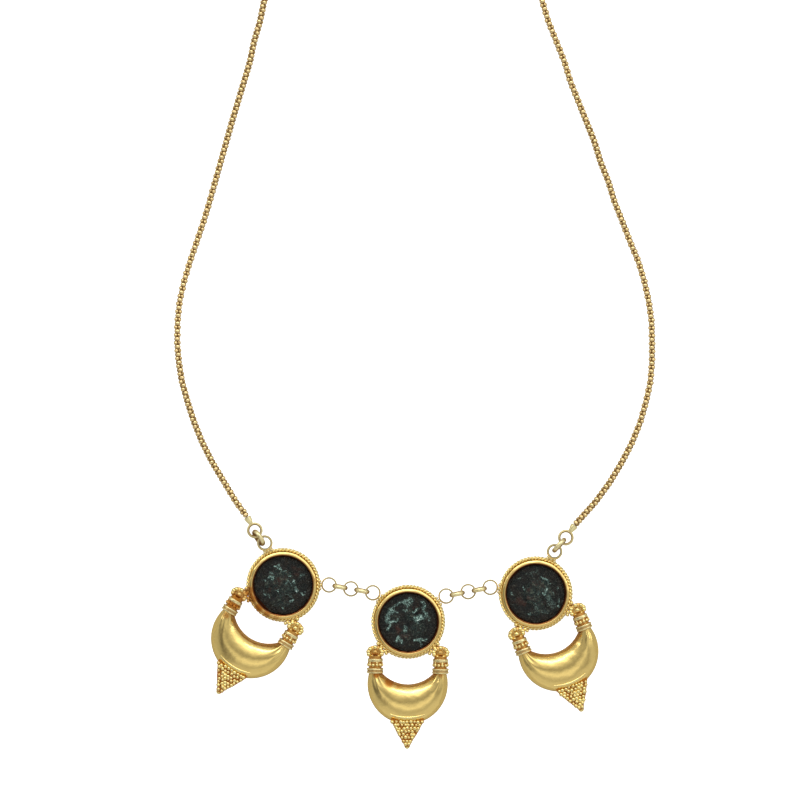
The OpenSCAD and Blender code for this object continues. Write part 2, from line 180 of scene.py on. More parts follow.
world = bpy.data.worlds.new("studio")
bpy.context.scene.world = world
world.use_nodes = True
sky = world.node_tree
direction = add_node(sky, "ShaderNodeTexCoord").outputs["Generated"]
flattened = vector_math(sky, "MULTIPLY", direction)
flattened.inputs[1].default_value = (1, 1, 0)
level_part = flattened.outputs["Vector"]
descent = vector_math(sky, "LENGTH", level_part).outputs["Value"]
compass = add_node(sky, "ShaderNodeSeparateXYZ")
sky.links.new(vector_math(sky, "NORMALIZE", level_part).outputs["Vector"], compass.inputs[0])
upper_share = ranged(sky, compass.outputs["Y"], -BAND_OVERLAP, BAND_OVERLAP)
right_share = ranged(sky, compass.outputs["X"], -1, 1)
lower, upper = (new_ramp(sky, descent, stops) for stops in (LOWER_STOPS, UPPER_STOPS))
overhead = mixed(sky, upper_share, lower, upper)
sides = new_ramp(sky, right_share, SIDE_STOPS)
lit = mixed(sky, new_ramp(sky, descent, SIDE_COUNTS), overhead, sides, blend_type="MULTIPLY")
sky.links.new(lit, sky.nodes["Background"].inputs["Color"])
print("the room's light takes", len(sky.nodes), "nodes")

# %% Panels
# Each panel: name, where it stands (m), width and height (m), brightness
PANELS = [
    ("top panel", (-0.1, 0.78, 0.62), (1.2, 0.16), 2.8),
    ("left strip", (-0.85, 0.45, 0.5), (0.1, 0.5), 2.8),
    ("right strip", (0.9, 0.25, 0.5), (0.1, 0.5), 2.5),
]
for name, at, size, brightness in PANELS:
    light = bpy.data.lights.new(name, "AREA")
    light.shape = "RECTANGLE"
    light.size, light.size_y = size
    light.energy = brightness * math.pi * size[0] * size[1]
    lamp = bpy.data.objects.new(name, light)
    lamp.location = at
    lamp.rotation_mode = "QUATERNION"
    lamp.rotation_quaternion = (PHOTO_MIDDLE - Vector(at)).to_track_quat("-Z", "Y")
    bpy.context.scene.collection.objects.link(lamp)
    print(name, round(light.energy, 2), "W")

# %% [markdown]
# ## Gold with painted shade
# Cast and soldered gold is bright where fingers polish it. Its corners, creases and the insides
# of rings are painted orange-brown as shade, and a few patches carry painted orange-brown
# reflections. One node group makes that colour from a "recess" value that each mesh carries in
# its vertices, and a second one makes the faint waves and hairlines of hand polishing. Both only
# hand on colours and values; the shader stays in each material. Every kind of piece has its own
# gold, because wire, granules and rims differ in colour and in painted shade.

# %% Node helpers for finishes
def noise_at(tree, coords, scale, detail=3.0):
    """Noise in the object's own space; scale is in features per metre"""
    texture = add_node(tree, "ShaderNodeTexNoise")
    texture.inputs["Scale"].default_value = scale
    texture.inputs["Detail"].default_value = detail
    tree.links.new(coords, texture.inputs["Vector"])
    return texture.outputs["Fac"]


def worked(tree, operation, a, b, **settings):
    """One Math node; b is a socket or a number"""
    made = add_node(tree, "ShaderNodeMath", operation=operation, **settings)
    tree.links.new(a, made.inputs[0])
    if isinstance(b, (int, float)):
        made.inputs[1].default_value = b
    else:
        tree.links.new(b, made.inputs[1])
    return made.outputs[0]


def new_group(name, inputs, outputs):
    """A shader node group; inputs and outputs map socket names to kinds"""
    group = bpy.data.node_groups.new(name, "ShaderNodeTree")
    for in_out, sockets in (("INPUT", inputs), ("OUTPUT", outputs)):
        for socket, kind in sockets.items():
            group.interface.new_socket(
                name=socket, in_out=in_out, socket_type="NodeSocket" + kind)
    return group, group.nodes.new("NodeGroupInput"), group.nodes.new("NodeGroupOutput")


# %% Colour of gold with painted shade
# The darkest brown, of the painted reflections and of the deepest painted shade
REFLECTION_AND_SHADE_BROWN = (0.5, 0.15, 0.02)
PATCHES_PER_M = 900
SPECKS_PER_M = 4200


def gold_shading_group():
    """Clean gold, browned as painted shade and painted reflections by the mesh's recess value, and
    a little uneven everywhere
    """
    group, taken, given = new_group(
        "gold shading",
        {"Clean": "Color", "Deep": "Color", "Spread": "Float", "Polish": "Float"},
        {"Color": "Color", "Roughness": "Float"})
    coords = add_node(group, "ShaderNodeTexCoord").outputs["Object"]
    recess = add_node(group, "ShaderNodeAttribute", attribute_name="recess").outputs["Fac"]
    patches = ranged(group, noise_at(group, coords, PATCHES_PER_M), 0.35, 0.7)
    specks = ranged(group, noise_at(group, coords, SPECKS_PER_M, 2), 0.45, 0.75)
    uneven = worked(group, "MULTIPLY", patches, taken.outputs["Spread"])
    # Painted shade and painted reflections: the recess value, broken up by fine specks
    painted_shade = worked(group, "MULTIPLY", ranged(group, specks, 0, 1, 0.75, 1.15), recess)
    amount = worked(group, "ADD", painted_shade, uneven, use_clamp=True)
    colour = mixed(group, amount, taken.outputs["Clean"], taken.outputs["Deep"])
    colour = mixed(group, ranged(group, painted_shade, 0.9, 1.7), colour, REFLECTION_AND_SHADE_BROWN)
    rough = worked(
        group, "ADD", ranged(group, amount, 0, 1, 0.0, 0.35), taken.outputs["Polish"])
    group.links.new(colour, given.inputs["Color"])
    group.links.new(rough, given.inputs["Roughness"])
    return group


GOLD_SHADING = gold_shading_group()


# %% Waves and hairlines of hand polishing
WAVES_PER_M = 420
HAIRLINES_PER_M = 1400
HAIRLINE_TURNS = (25, 112)
HAIRLINE_FINENESS = 14
POLISH_DEPTH = 0.1 * MM


def hand_polish_group():
    """Height of soft waves and of fine hairlines that run in two directions"""
    group, taken, given = new_group(
        "hand polish", {"Waves": "Float", "Hairlines": "Float"}, {"Height": "Float"})
    coords = add_node(group, "ShaderNodeTexCoord").outputs["Object"]
    soft = noise_at(group, coords, WAVES_PER_M, 1.5)
    fine = []
    for turn in HAIRLINE_TURNS:
        mapping = add_node(group, "ShaderNodeMapping")
        mapping.inputs["Rotation"].default_value = (0, 0, math.radians(turn))
        mapping.inputs["Scale"].default_value = (1, HAIRLINE_FINENESS, 1)
        group.links.new(coords, mapping.inputs["Vector"])
        fine.append(noise_at(group, mapping.outputs["Vector"], HAIRLINES_PER_M, 2))
    waves = worked(group, "MULTIPLY", soft, taken.outputs["Waves"])
    lines = worked(group, "MULTIPLY", worked(group, "ADD", *fine), taken.outputs["Hairlines"])
    group.links.new(worked(group, "ADD", waves, lines), given.inputs["Height"])
    return group


HAND_POLISH = hand_polish_group()


# %% Gold materials
def bumped(tree, shader, height, depth):
    """A height socket joined to the shader's normal; depth is in metres"""
    bump = add_node(tree, "ShaderNodeBump")
    bump.inputs["Strength"].default_value = 1.0
    bump.inputs["Distance"].default_value = depth
    tree.links.new(height, bump.inputs["Height"])
    tree.links.new(bump.outputs["Normal"], shader.inputs["Normal"])


def gold_material(name, clean, deep, spread, waves, hairlines, roughness=0.13, metal=1.0):
    """Metal with painted shade, uneven colour and the polish of this piece"""
    material, tree, shader = new_material(name)
    shader.inputs["Metallic"].default_value = metal
    # The node of painted shade, painted reflections and uneven colour
    worn = add_node(tree, "ShaderNodeGroup", node_tree=GOLD_SHADING)
    worn.inputs["Clean"].default_value = (*clean, 1)
    worn.inputs["Deep"].default_value = (*deep, 1)
    worn.inputs["Spread"].default_value = spread
    worn.inputs["Polish"].default_value = roughness
    polish = add_node(tree, "ShaderNodeGroup", node_tree=HAND_POLISH)
    polish.inputs["Waves"].default_value = waves
    polish.inputs["Hairlines"].default_value = hairlines
    bumped(tree, shader, polish.outputs["Height"], POLISH_DEPTH)
    tree.links.new(worn.outputs["Color"], shader.inputs["Base Color"])
    tree.links.new(worn.outputs["Roughness"], shader.inputs["Roughness"])
    return material


# %% A gold for each kind of piece
# Each gold: name, clean colour, deep colour of its painted shade, how far the deep one spreads,
# waves, hairlines, and where it isn't the usual one, roughness and share of metal
GOLD = gold_material(
    "polished gold", (1.0, 0.75, 0.26), (0.56, 0.24, 0.045), 0.08, 1.2, 0.07, 0.09)
RIM_GOLD = gold_material("rim gold", (1.0, 0.74, 0.27), (0.55, 0.22, 0.04), 0.12, 0.9, 0.06)
ROPE_GOLD = gold_material(
    "rope gold", (1.0, 0.85, 0.4), (0.55, 0.31, 0.07), 0.08, 0.5, 0.08, 0.18)
GRAINED = gold_material(
    "granulated gold", (1.0, 0.83, 0.35), (0.6, 0.27, 0.045), 0.16, 0.6, 0.08, 0.18)
PALE_GOLD = gold_material(
    "pale gold wire", (1.0, 0.83, 0.42), (0.34, 0.29, 0.17), 0.15, 0.4, 0.08, 0.22)
BAND_GOLD = gold_material(
    "pale gold bands", (1.0, 0.85, 0.42), (0.45, 0.22, 0.05), 0.12, 1.0, 0.1, 0.24, 0.9)
HANGER_GOLD = gold_material(
    "hanger gold", (1.0, 0.87, 0.47), (0.36, 0.18, 0.05), 0.08, 0.5, 0.08, 0.24, 0.8)
END_GOLD = gold_material(
    "chain end gold", (1.0, 0.88, 0.46), (0.36, 0.22, 0.07), 0.06, 0.5, 0.06, 0.24, 0.6)
CHAIN_GOLD = gold_material(
    "chain gold", (1.0, 0.76, 0.37), (0.2, 0.085, 0.008), 0.05, 0.3, 0.05, 0.19)
# Dark red-brown gold of the seat: painted shade in the groove round the coin
SEAT_SHADE_GOLD = gold_material(
    "red-brown bezel seat", (0.3, 0.1, 0.03), (0.07, 0.02, 0.01), 0.6, 0.8, 0.1)

# %% [markdown]
# ## Shaping tools
# Everything is drawn in millimetres, in the piece's own frame, and made metres at the end.
# A wire is a ring of vertices that is extruded from point to point, and a turned piece is an
# outline spun round its axis. Both close their seams by merging doubled vertices.

# %% Places and blends
# The noise behind every small irregularity is the same in each run
noise.seed_set(11)
UP = Vector((0, 0, 1))


def polar(reach, angle):
    """A flat vector; the angle is in degrees"""
    turn = math.radians(angle)
    return Vector((reach * math.cos(turn), reach * math.sin(turn), 0))


def blend(a, b, share):
    """A value or a place between a (share 0) and b (share 1)"""
    return a + (b - a) * share


def fade(low, high, x):
    """0 below low, 1 above high, smooth between"""
    t = min(1.0, max(0.0, (x - low) / (high - low)))
    return t * t * (3 - 2 * t)


def rotation(angle, axis):
    """A turn round an axis; the angle is in degrees"""
    return Matrix.Rotation(math.radians(angle), 4, axis)


# %% Moving and joining
def moved(bm, matrix):
    """The bmesh itself, with all its vertices moved"""
    bmesh.ops.transform(bm, matrix=matrix, verts=bm.verts[:])
    return bm


def as_mesh(bm, name):
    """A mesh from a bmesh, which is freed"""
    mesh = bpy.data.meshes.new(name)
    bm.to_mesh(mesh)
    bm.free()
    return mesh


def joined(parts):
    """One bmesh from several, which are freed"""
    whole = bmesh.new()
    for part in parts:
        spare = as_mesh(part, "spare")
        whole.from_mesh(spare)
        bpy.data.meshes.remove(spare)
    return whole


# %% Turned pieces
def arc(centre, radius, start, end, steps):
    """Points (reach, height) along an arc of a profile"""
    turns = [math.radians(blend(start, end, i / steps)) for i in range(steps + 1)]
    return [(centre[0] + radius * math.cos(t), centre[1] + radius * math.sin(t)) for t in turns]


def turned(profile, steps, closed=False):
    """An outline of (reach, height) points spun round Z"""
    bm = bmesh.new()
    verts = [bm.verts.new((reach, 0, z)) for reach, z in profile]
    edges = [bm.edges.new(pair) for pair in zip(verts, verts[1:])]
    if closed:
        edges.append(bm.edges.new((verts[-1], verts[0])))
    bmesh.ops.spin(
        bm, geom=verts + edges, cent=(0, 0, 0), axis=(0, 0, 1), angle=math.tau, steps=steps,
        use_merge=True)
    bmesh.ops.remove_doubles(bm, verts=bm.verts[:], dist=0.001)
    return bm


# %% Wires and granules
def frames_along(points, closed, scales):
    """A frame at each point, Z along the path and X level"""
    count = len(points)
    frames = []
    for i, point in enumerate(points):
        before = points[i - 1] if closed or i else point
        after = points[(i + 1) % count] if closed or i < count - 1 else point
        along = (after - before).normalized()
        level = UP.cross(along).normalized()
        turn = Matrix((level, along.cross(level), along)).transposed().to_4x4()
        frames.append(Matrix.Translation(point) @ turn @ Matrix.Scale(scales[i], 4))
    return frames


def wire(points, radius, sides, closed=False, scales=None):
    """A round wire through the points, capped or closed into a hoop"""
    bm = bmesh.new()
    frames = frames_along(points, closed, scales or [1] * len(points))
    bmesh.ops.create_circle(bm, segments=sides, radius=radius, matrix=frames[0])
    first = loop = bm.edges[:]
    for last, here in zip(frames, frames[1:]):
        grown = bmesh.ops.extrude_edge_only(bm, edges=loop)["geom"]
        fresh = {g for g in grown if isinstance(g, bmesh.types.BMVert)}
        loop = [g for g in grown if isinstance(g, bmesh.types.BMEdge) and set(g.verts) <= fresh]
        bmesh.ops.transform(bm, matrix=here @ last.inverted(), verts=list(fresh))
    if closed:
        bmesh.ops.bridge_loops(bm, edges=first + loop)
    else:
        bmesh.ops.edgeloop_fill(bm, edges=first)
        bmesh.ops.edgeloop_fill(bm, edges=loop)
    return bm


def bead(at, radius, sides=12, rings=8):
    """A granule: a small ball"""
    bm = bmesh.new()
    bmesh.ops.create_uvsphere(
        bm, u_segments=sides, v_segments=rings, radius=radius, matrix=Matrix.Translation(at))
    return bm


# %% Painted shade
def painted(bm, recess):
    """Give each vertex its recess value, worked out from its place"""
    layer = bm.verts.layers.float.new("recess")
    for vert in bm.verts:
        vert[layer] = recess(vert.co)
    return bm


# %% Painted reflections
# Orange-brown reflections painted across several pieces, in the frame: x, y, radius (mm), strength
PAINTED_REFLECTIONS = [
    (-43.2, 5.2, 3.2, 1.4), (-40.2, 3.8, 2.4, 1.6), (-38.4, 2.2, 2.2, 1.5), (-36.2, 0.6, 2, 1.3),
    (-34, 0, 1.6, 0.9), (-39.8, 7.2, 2, 1.1), (-24.1, 10.5, 1.6, 0.8), (-4.6, -14.8, 2, 1.4),
    (-2.4, -15.7, 1.4, 0.9), (-7.9, -13, 1.3, 1.4), (8, -13.1, 1, 0.9), (-8.2, -7.8, 1.1, 1.1),
    (8.2, -7.6, 0.9, 0.8), (-45.3, 1.8, 1.3, 0.9), (31, -5, 1.2, 0.7), (-39.3, 8, 1.5, 1.1),
    (-38.8, 5.8, 1.9, 1.2), (-37.3, 3.6, 1.8, 1.4), (-35.2, 2.2, 1.6, 1.1), (-33, 1.3, 1.5, 0.7)]
# The share of its radius in which a painted reflection is at full strength
REFLECTION_CORE = 0.3


def with_reflections(bm):
    """The painted reflections added to the recess values of a piece that already lies in its place
    """
    layer = bm.verts.layers.float["recess"]
    for vert in bm.verts:
        for x, y, radius, strength in PAINTED_REFLECTIONS:
            away = math.hypot(vert.co.x - x, vert.co.y - y)
            vert[layer] = max(vert[layer], strength * fade(radius, REFLECTION_CORE * radius, away))
    return bm


# %% Finishing a piece
def finished(name, bm, material, nodes, crease=38):
    """Close, turn outwards, scale to metres and hand the piece to the frame"""
    bmesh.ops.remove_doubles(bm, verts=bm.verts[:], dist=0.0005)
    bmesh.ops.recalc_face_normals(bm, faces=bm.faces[:])
    mesh = as_mesh(bm, name)
    mesh.transform(Matrix.Scale(MM, 4))
    mesh.materials.append(material)
    mesh.shade_smooth()
    mesh.set_sharp_from_angle(angle=math.radians(crease))
    piece = bpy.data.objects.new(name, mesh)
    bpy.context.scene.collection.objects.link(piece)
    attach(piece, "root")
    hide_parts(*nodes)
    print(f"{name}: {len(mesh.polygons)} faces of {material.name}")


# %% Where each setting lies
LINK_WALL = 0.42
HEAVY_WALL = 0.6
# Each setting: name, middle of its coin, its turn (degrees), and its two soldered rings'
# directions and walls
SETTINGS = [
    ("left", Vector((-31.25, 9.2, 0)), -31.1, ((0.6, LINK_WALL), (113.2, HEAVY_WALL))),
    ("centre", Vector((0, 0, 0)), -0.5, ((140.2, LINK_WALL), (34.7, LINK_WALL))),
    ("right", Vector((31.85, 7.1, 0)), 21.5, ((171.9, LINK_WALL), (66.1, HEAVY_WALL))),
]


def laid(bm, at, turn):
    """A piece turned where it lies and moved to its place"""
    return moved(bm, Matrix.Translation(at) @ rotation(turn, "Z"))


# %% [markdown]
# ## Bezel and rope
# A bezel is a strip of gold bent round the coin and soldered to a plate, with its edge burnished
# over into a smooth rim. Spinning its outline gives that in one step. The rope round it is two
# round wires twisted together, so each strand is a wire that winds round the rope's middle.

# %% Bezel
WINDOW_R = 7.6
RIM_W = 0.8
RIM_H = 2.6
RIM_OUTER_ROUND = 0.28
RIM_INNER_ROUND = 0.24
RIM_WOBBLE = 0.06
RIM_SWAY = 0.05
PLATE_T = 0.5
BASE_T = 1.1
BASE_EDGE = 0.1
ROPE_D = 0.94
ROPE_SINK = 0.06
ROPE_MID_R = WINDOW_R + RIM_W + ROPE_D / 2 - ROPE_SINK
BASE_R = ROPE_MID_R - 0.15


def bezel(seed):
    """Wall and rounded rim round the coin, a little uneven from burnishing"""
    outside = WINDOW_R + RIM_W
    profile = [(WINDOW_R + 0.02, PLATE_T), (BASE_R - 0.4, 0), (BASE_R - BASE_EDGE, 0)]
    profile += [(BASE_R, BASE_EDGE), (BASE_R, BASE_T - BASE_EDGE), (BASE_R - BASE_EDGE, BASE_T)]
    profile += [(outside, BASE_T)]
    profile += arc((outside - RIM_OUTER_ROUND, RIM_H - 0.42), RIM_OUTER_ROUND, 0, 68, 6)
    inner = (WINDOW_R + RIM_INNER_ROUND, RIM_H - RIM_INNER_ROUND)
    profile += arc(inner, RIM_INNER_ROUND, 75, 180, 7)
    bm = turned(profile, 120, closed=True)
    for vert in bm.verts:
        if vert.co.z > BASE_T + BASE_EDGE:
            wobble = noise.noise(vert.co * 0.55 + Vector((seed, 0, 0)))
            vert.co += vert.co.xy.to_3d().normalized() * wobble * RIM_SWAY
            vert.co += UP * (wobble - 0.6) * RIM_WOBBLE

    # Painted shade by the coin's edge, and on the rim's outer side below its top
    def rim_shade(co):
        by_coin = fade(WINDOW_R + 0.2, WINDOW_R + 0.04, co.xy.length)
        outer_side = fade(WINDOW_R + 0.6, outside, co.xy.length)
        return max(by_coin, 0.7 * outer_side * fade(RIM_H - 0.4, RIM_H - 0.8, co.z))

    return painted(bm, rim_shade)


# %% Seat
SEAT_H = 1.95


def seat():
    """The plate that the coin lies on and the wall beside its edge, painted dark red-brown as
    shade, darker towards the bottom
    """
    outer = WINDOW_R - 0.03
    profile = [(0, 0), (BASE_R - 0.5, 0), (outer, PLATE_T - 0.1), (outer, SEAT_H)]
    profile += [(outer - 0.09, SEAT_H - 0.05), (outer - 0.11, PLATE_T), (0, PLATE_T)]
    return painted(turned(profile, 96), lambda co: fade(1.7, 0.9, co.z))


# %% Twisted rope
ROPE_Z = 1.45
ROPE_SHIFT = Vector((0, 0.1, 0))
ROPE_TURNS = 31
ROPE_UNEVEN = 0.35
STRAND_R = 0.265
STRAND_SWING = 0.22
STEPS_PER_TURN = 10


def rope(seed):
    """Two strands that wind round one another and close into a hoop"""
    strands = []
    steps = ROPE_TURNS * STEPS_PER_TURN
    for phase in (0, math.pi):
        points = []
        for i in range(steps):
            uneven = ROPE_UNEVEN * math.sin(math.tau * i / steps * 5 + seed)
            twist = math.tau * i / STEPS_PER_TURN + phase + uneven
            reach = ROPE_MID_R + STRAND_SWING * math.cos(twist)
            height = ROPE_Z + STRAND_SWING * math.sin(twist)
            points.append(polar(reach, 360 * i / steps) + UP * height)
        strands.append(wire(points, STRAND_R, 8, closed=True))

    # Painted shade where the two strands press together
    def between(co):
        away = math.hypot((co - ROPE_SHIFT).xy.length - ROPE_MID_R, co.z - ROPE_Z)
        return 0.6 * fade(0.36, 0.2, away)

    return painted(moved(joined(strands), Matrix.Translation(ROPE_SHIFT)), between)


# %% Bezels, seats and ropes in their places
for name, at, turn, _ in SETTINGS:
    node = name + "_setting"
    hoop = with_reflections(laid(rope(at.x), at, turn))
    finished(name + "_bezel", with_reflections(laid(bezel(at.x), at, turn)), RIM_GOLD, [node])
    finished(name + "_seat", laid(seat(), at, turn), SEAT_SHADE_GOLD, [node])
    finished(name + "_rope", hoop, ROPE_GOLD, [node], crease=60)
print("rope pitch", round(math.tau * ROPE_MID_R / ROPE_TURNS / 2, 2), "mm")

# %% [markdown]
# ## Collars
# Each horn of the crescent is held by a collar: a rosette of granules against the rope, then
# two flat bands with a row of granules between them. Granules are melted from snippets of wire
# and fused on one by one, so no two sit quite alike.

# %% Bands
COLLAR_X = 8.15
COLLAR_Z = 1.5
GROOVE_DEPTH = 0.14
# Each band: where it begins, its width, its radius
BANDS = [(-9.1, 0.8, 1.9), (-11.5, 1.25, 2.1)]


def along_y(bm, x, y):
    """A piece turned round Z, laid along -Y from (x, y) at the collar's height, flat below"""
    moved(bm, Matrix.Translation((x, y, COLLAR_Z)) @ rotation(90, "X"))
    for vert in bm.verts:
        vert.co.z = max(vert.co.z, 0.02)
    return bm


def from_collar_axis(co, x):
    """How far a place is from the middle line of the collar at x"""
    return math.hypot(co.x - x, co.z - COLLAR_Z)


def band(x, start, width, radius):
    """A flat band with rounded edges; a wide one has a groove round its middle"""
    edge = 0.16
    profile = [(0, 0), (radius - edge, 0)] + arc((radius - edge, edge), edge, -90, 0, 3)[1:]
    if width > 1:
        floor = radius - GROOVE_DEPTH
        profile += [(radius, 0.36), (floor, 0.46), (floor, width - 0.46), (radius, width - 0.36)]
    profile += arc((radius - edge, width - edge), edge, 0, 90, 3) + [(0, width)]
    bm = along_y(turned(profile, 48), x, start)
    # Painted shade in the groove and on the band's rounded edges
    high, low = radius - 0.03, radius - 0.13
    return painted(bm, lambda co: 0.75 * fade(high, low, from_collar_axis(co, x)))


# %% Rosettes
ROSETTE_Y = -7.55
ROSETTE_Z = 2.1
ROSETTE_WIDE = 1.72
ROSETTE_DEEP = 1.22
ROSETTE_BEADS = 9
ROSETTE_BEAD_R = 0.58
ROSETTE_HEART_R = 0.7
ROSETTE_SHAKE = 0.07
PLINTH_MARGIN = 0.42


def rosette(x, seed):
    """Granules round a larger one, on a low plinth; the two lowest hide under the band"""
    middle = Vector((x, ROSETTE_Y, ROSETTE_Z))
    parts = [bead(middle + UP * 0.1, ROSETTE_HEART_R, 14, 8)]
    for i in range(ROSETTE_BEADS):
        around = math.tau * (i + 0.25) / ROSETTE_BEADS
        around -= 0.16 * math.sin(2 * around)
        spot = Vector((ROSETTE_WIDE * math.cos(around), ROSETTE_DEEP * math.sin(around), 0))
        shake = noise.noise_vector(Vector((i, seed, x))) * ROSETTE_SHAKE
        parts.append(bead(middle + spot + shake, ROSETTE_BEAD_R))
    plinth = turned([(0, 0.3), (0.9, 0.3), (1, 0.45), (1, 1.7), (0.85, 1.9), (0, 1.95)], 28)
    size = Matrix.Diagonal((ROSETTE_WIDE + PLINTH_MARGIN, ROSETTE_DEEP + PLINTH_MARGIN, 1, 1))
    parts.append(moved(plinth, Matrix.Translation((x, ROSETTE_Y, 0)) @ size))

    # Painted shade low between the granules and round the large middle one
    def corners(co):
        central = fade(1.3, 0.7, math.hypot(co.x - x, co.y - ROSETTE_Y))
        return max(0.75 * fade(2.3, 1.7, co.z), 0.45 * central * fade(2.8, 2.4, co.z))

    return painted(joined(parts), corners)


# %% Rows of granules
HORN_Y = -12.3
CORE_R = 1.58
CORE_FROM_Y = -8.4
ROW_Y = -10.65
ROW_R = 1.65
ROW_BEADS = 8
ROW_FROM, ROW_STEP = -20, 31.4
ROW_SHAKE = 0.08
ROW_BEAD_R = 0.47
SMALL_BEAD_R = 0.34


def bead_row(x, seed):
    """The row of granules between the bands and the core it sits on"""
    length = CORE_FROM_Y - HORN_Y
    core = turned([(0, 0), (CORE_R, 0), (CORE_R, length), (0, length)], 32)
    parts = [along_y(core, x, CORE_FROM_Y)]
    for i in range(ROW_BEADS):
        across = polar(ROW_R, ROW_FROM + i * ROW_STEP)
        spot = Vector((x + across.x, ROW_Y, COLLAR_Z + across.y))
        spot += noise.noise_vector(Vector((seed, i, x))) * ROW_SHAKE
        parts.append(bead(spot, ROW_BEAD_R, 10, 6))
        if i % 2:
            parts.append(bead(spot + Vector((0, 0.5, 0)), SMALL_BEAD_R, 8, 6))
    # Painted shade towards the core, between the granules
    return painted(joined(parts), lambda co: fade(2.0, 1.65, from_collar_axis(co, x)))


# %% Collars in their places
# Granules in the corner with the rope: turn towards the hollow (degrees), reach, radius
FILLERS = [(9, 9.25, 0.5), (12.5, 9.5, 0.42), (-7, 9.2, 0.5), (1, 9.3, 0.55)]


def collar(side, seed):
    """Rosette and granules of one horn, and the bridge to the bezel"""
    x = side * COLLAR_X
    bridge = wire([Vector((x, ROSETTE_Y, BASE_T)) * share for share in (0.8, 0.95)], 0.8, 12)
    towards_coin = math.degrees(math.atan2(ROSETTE_Y, x))
    fillers = []
    for turn, far, radius in FILLERS:
        spot = polar(far, towards_coin - side * turn)
        fillers.append(bead(spot + UP * (ROSETTE_Z - 0.15 - radius * 0.3), radius))
    # Painted shade on the low parts of the bridge and of the granules by the rope
    solder = painted(joined([bridge] + fillers), lambda co: fade(2.2, 1.6, co.z))
    return joined([rosette(x, seed), bead_row(x, seed), solder])


for name, at, turn, _ in SETTINGS:
    node = name + "_setting"
    pair = joined([collar(-1, at.x), collar(1, at.x)])
    finished(name + "_collars", with_reflections(laid(pair, at, turn)), GRAINED, [node])
    bands = joined([band(side * COLLAR_X, *row) for side in (-1, 1) for row in BANDS])
    finished(name + "_bands", laid(bands, at, turn), BAND_GOLD, [node])

# %% [markdown]
# ## Puffed crescent
# The crescent is two sheets, a domed front and a flat back, soldered round the edge. A grid
# is the simplest start: one way runs from horn to horn, the other from the upper edge to the
# lower one. Each vertex is then pushed up to the dome's height, with shallow flutes where the
# horns are gathered into the collars.

# %% Dome of the crescent
CRESCENT_Y = -15.5
CRESCENT_R = 10.05
HOLLOW_Y = -6.8
HOLLOW_R = 8.8
CRESCENT_H = 3.3
CRESCENT_EDGE = 0.5
HORN_H = 2.9
FLUTES = 4
FLUTE_DEPTH = 0.13
HOLLOW_ANGLE = math.degrees(math.acos((HOLLOW_Y - HORN_Y) / HOLLOW_R))
CRESCENT_ANGLE = math.degrees(math.acos((CRESCENT_Y - HORN_Y) / CRESCENT_R))


def crescent_height(u, s):
    """Height of the dome: u from horn to horn, s from the upper to the lower edge"""
    top = blend(HORN_H, CRESCENT_H, math.cos(u * math.pi / 2) ** 0.8) - CRESCENT_EDGE
    dome = math.sin(math.pi * s ** 0.9) ** 0.62 if 0 < s < 1 else 0
    flute = FLUTE_DEPTH * fade(0.45, 0.95, abs(u)) * math.sin(math.pi * s)
    return CRESCENT_EDGE + top * dome + flute * math.cos(math.tau * FLUTES * s)


# %% Crescent
GRID_ALONG, GRID_ACROSS = 110, 36
DENT_DEPTH = 0.05


def crescent(seed):
    """A domed slab that follows two arcs"""
    bm = bmesh.new()
    bmesh.ops.create_grid(bm, x_segments=GRID_ALONG, y_segments=GRID_ACROSS, size=1)
    grown = bmesh.ops.extrude_face_region(bm, geom=bm.faces[:], use_keep_orig=True)["geom"]
    domed = {g for g in grown if isinstance(g, bmesh.types.BMVert)}
    for vert in bm.verts:
        u = max(-1.0, min(1.0, vert.co.x))
        s = max(0.0, min(1.0, (vert.co.y + 1) / 2))
        upper = Vector((0, HOLLOW_Y, 0)) + polar(HOLLOW_R, u * HOLLOW_ANGLE - 90)
        lower = Vector((0, CRESCENT_Y, 0)) + polar(CRESCENT_R, u * CRESCENT_ANGLE - 90)
        spot = blend(upper, lower, s)
        if vert in domed:
            dent = noise.noise(spot * 0.28 + Vector((seed, seed, 0))) * DENT_DEPTH
            spot.z = crescent_height(u, s) + dent * math.sin(math.pi * s)
        vert.co = spot

    # Painted shade where the horns go into the bands, under the horns by the hollow, and along the
    # hollow edge
    def by_the_edge(co):
        from_hollow = (co.xy - Vector((0, HOLLOW_Y))).length - HOLLOW_R
        at_bands = 0.7 * fade(-13.4, HORN_Y, co.y)
        under_horns = 0.55 * fade(1.3, 0.3, from_hollow) * fade(-18, -14, co.y)
        return at_bands + under_horns + 0.4 * fade(0.9, 0.4, from_hollow)

    return painted(bm, by_the_edge)


# %% [markdown]
# ## Granulated point
# Below the crescent a thin lip closes the dome, and a small plate carries rows of granules
# that shorten towards a bead at the tip. The plate is an outline of a few points, filled and
# extruded. Each granule is pushed a little out of its row and has its own size.

# %% Plate of the point
POINT_T = 1.6
# Half of the plate's outline, from its corner to the tip
POINT_SIDE = [(4.2, -23.3), (4.1, -24.7), (2.4, -28), (1.15, -29.9), (0.6, -31.1)]


def point_plate():
    """The plate under the granules: its outline filled and extruded"""
    bm = bmesh.new()
    outline = POINT_SIDE + [(-x, y) for x, y in reversed(POINT_SIDE)]
    face = bm.faces.new([bm.verts.new((x, y, 0)) for x, y in outline])
    top = bmesh.ops.extrude_face_region(bm, geom=[face], use_keep_orig=True)["geom"]
    for vert in (g for g in top if isinstance(g, bmesh.types.BMVert)):
        vert.co.z = POINT_T
    return bm


# %% Granules of the point
GRANULE_R = 0.52
GRANULE_VARIES = 0.35
GRANULE_STRAYS = 0.34
GRANULE_ROWS = 8
GRANULE_PITCH = 0.9
ROW_PITCH = 0.8
GRANULE_TOP_Y = -24.85


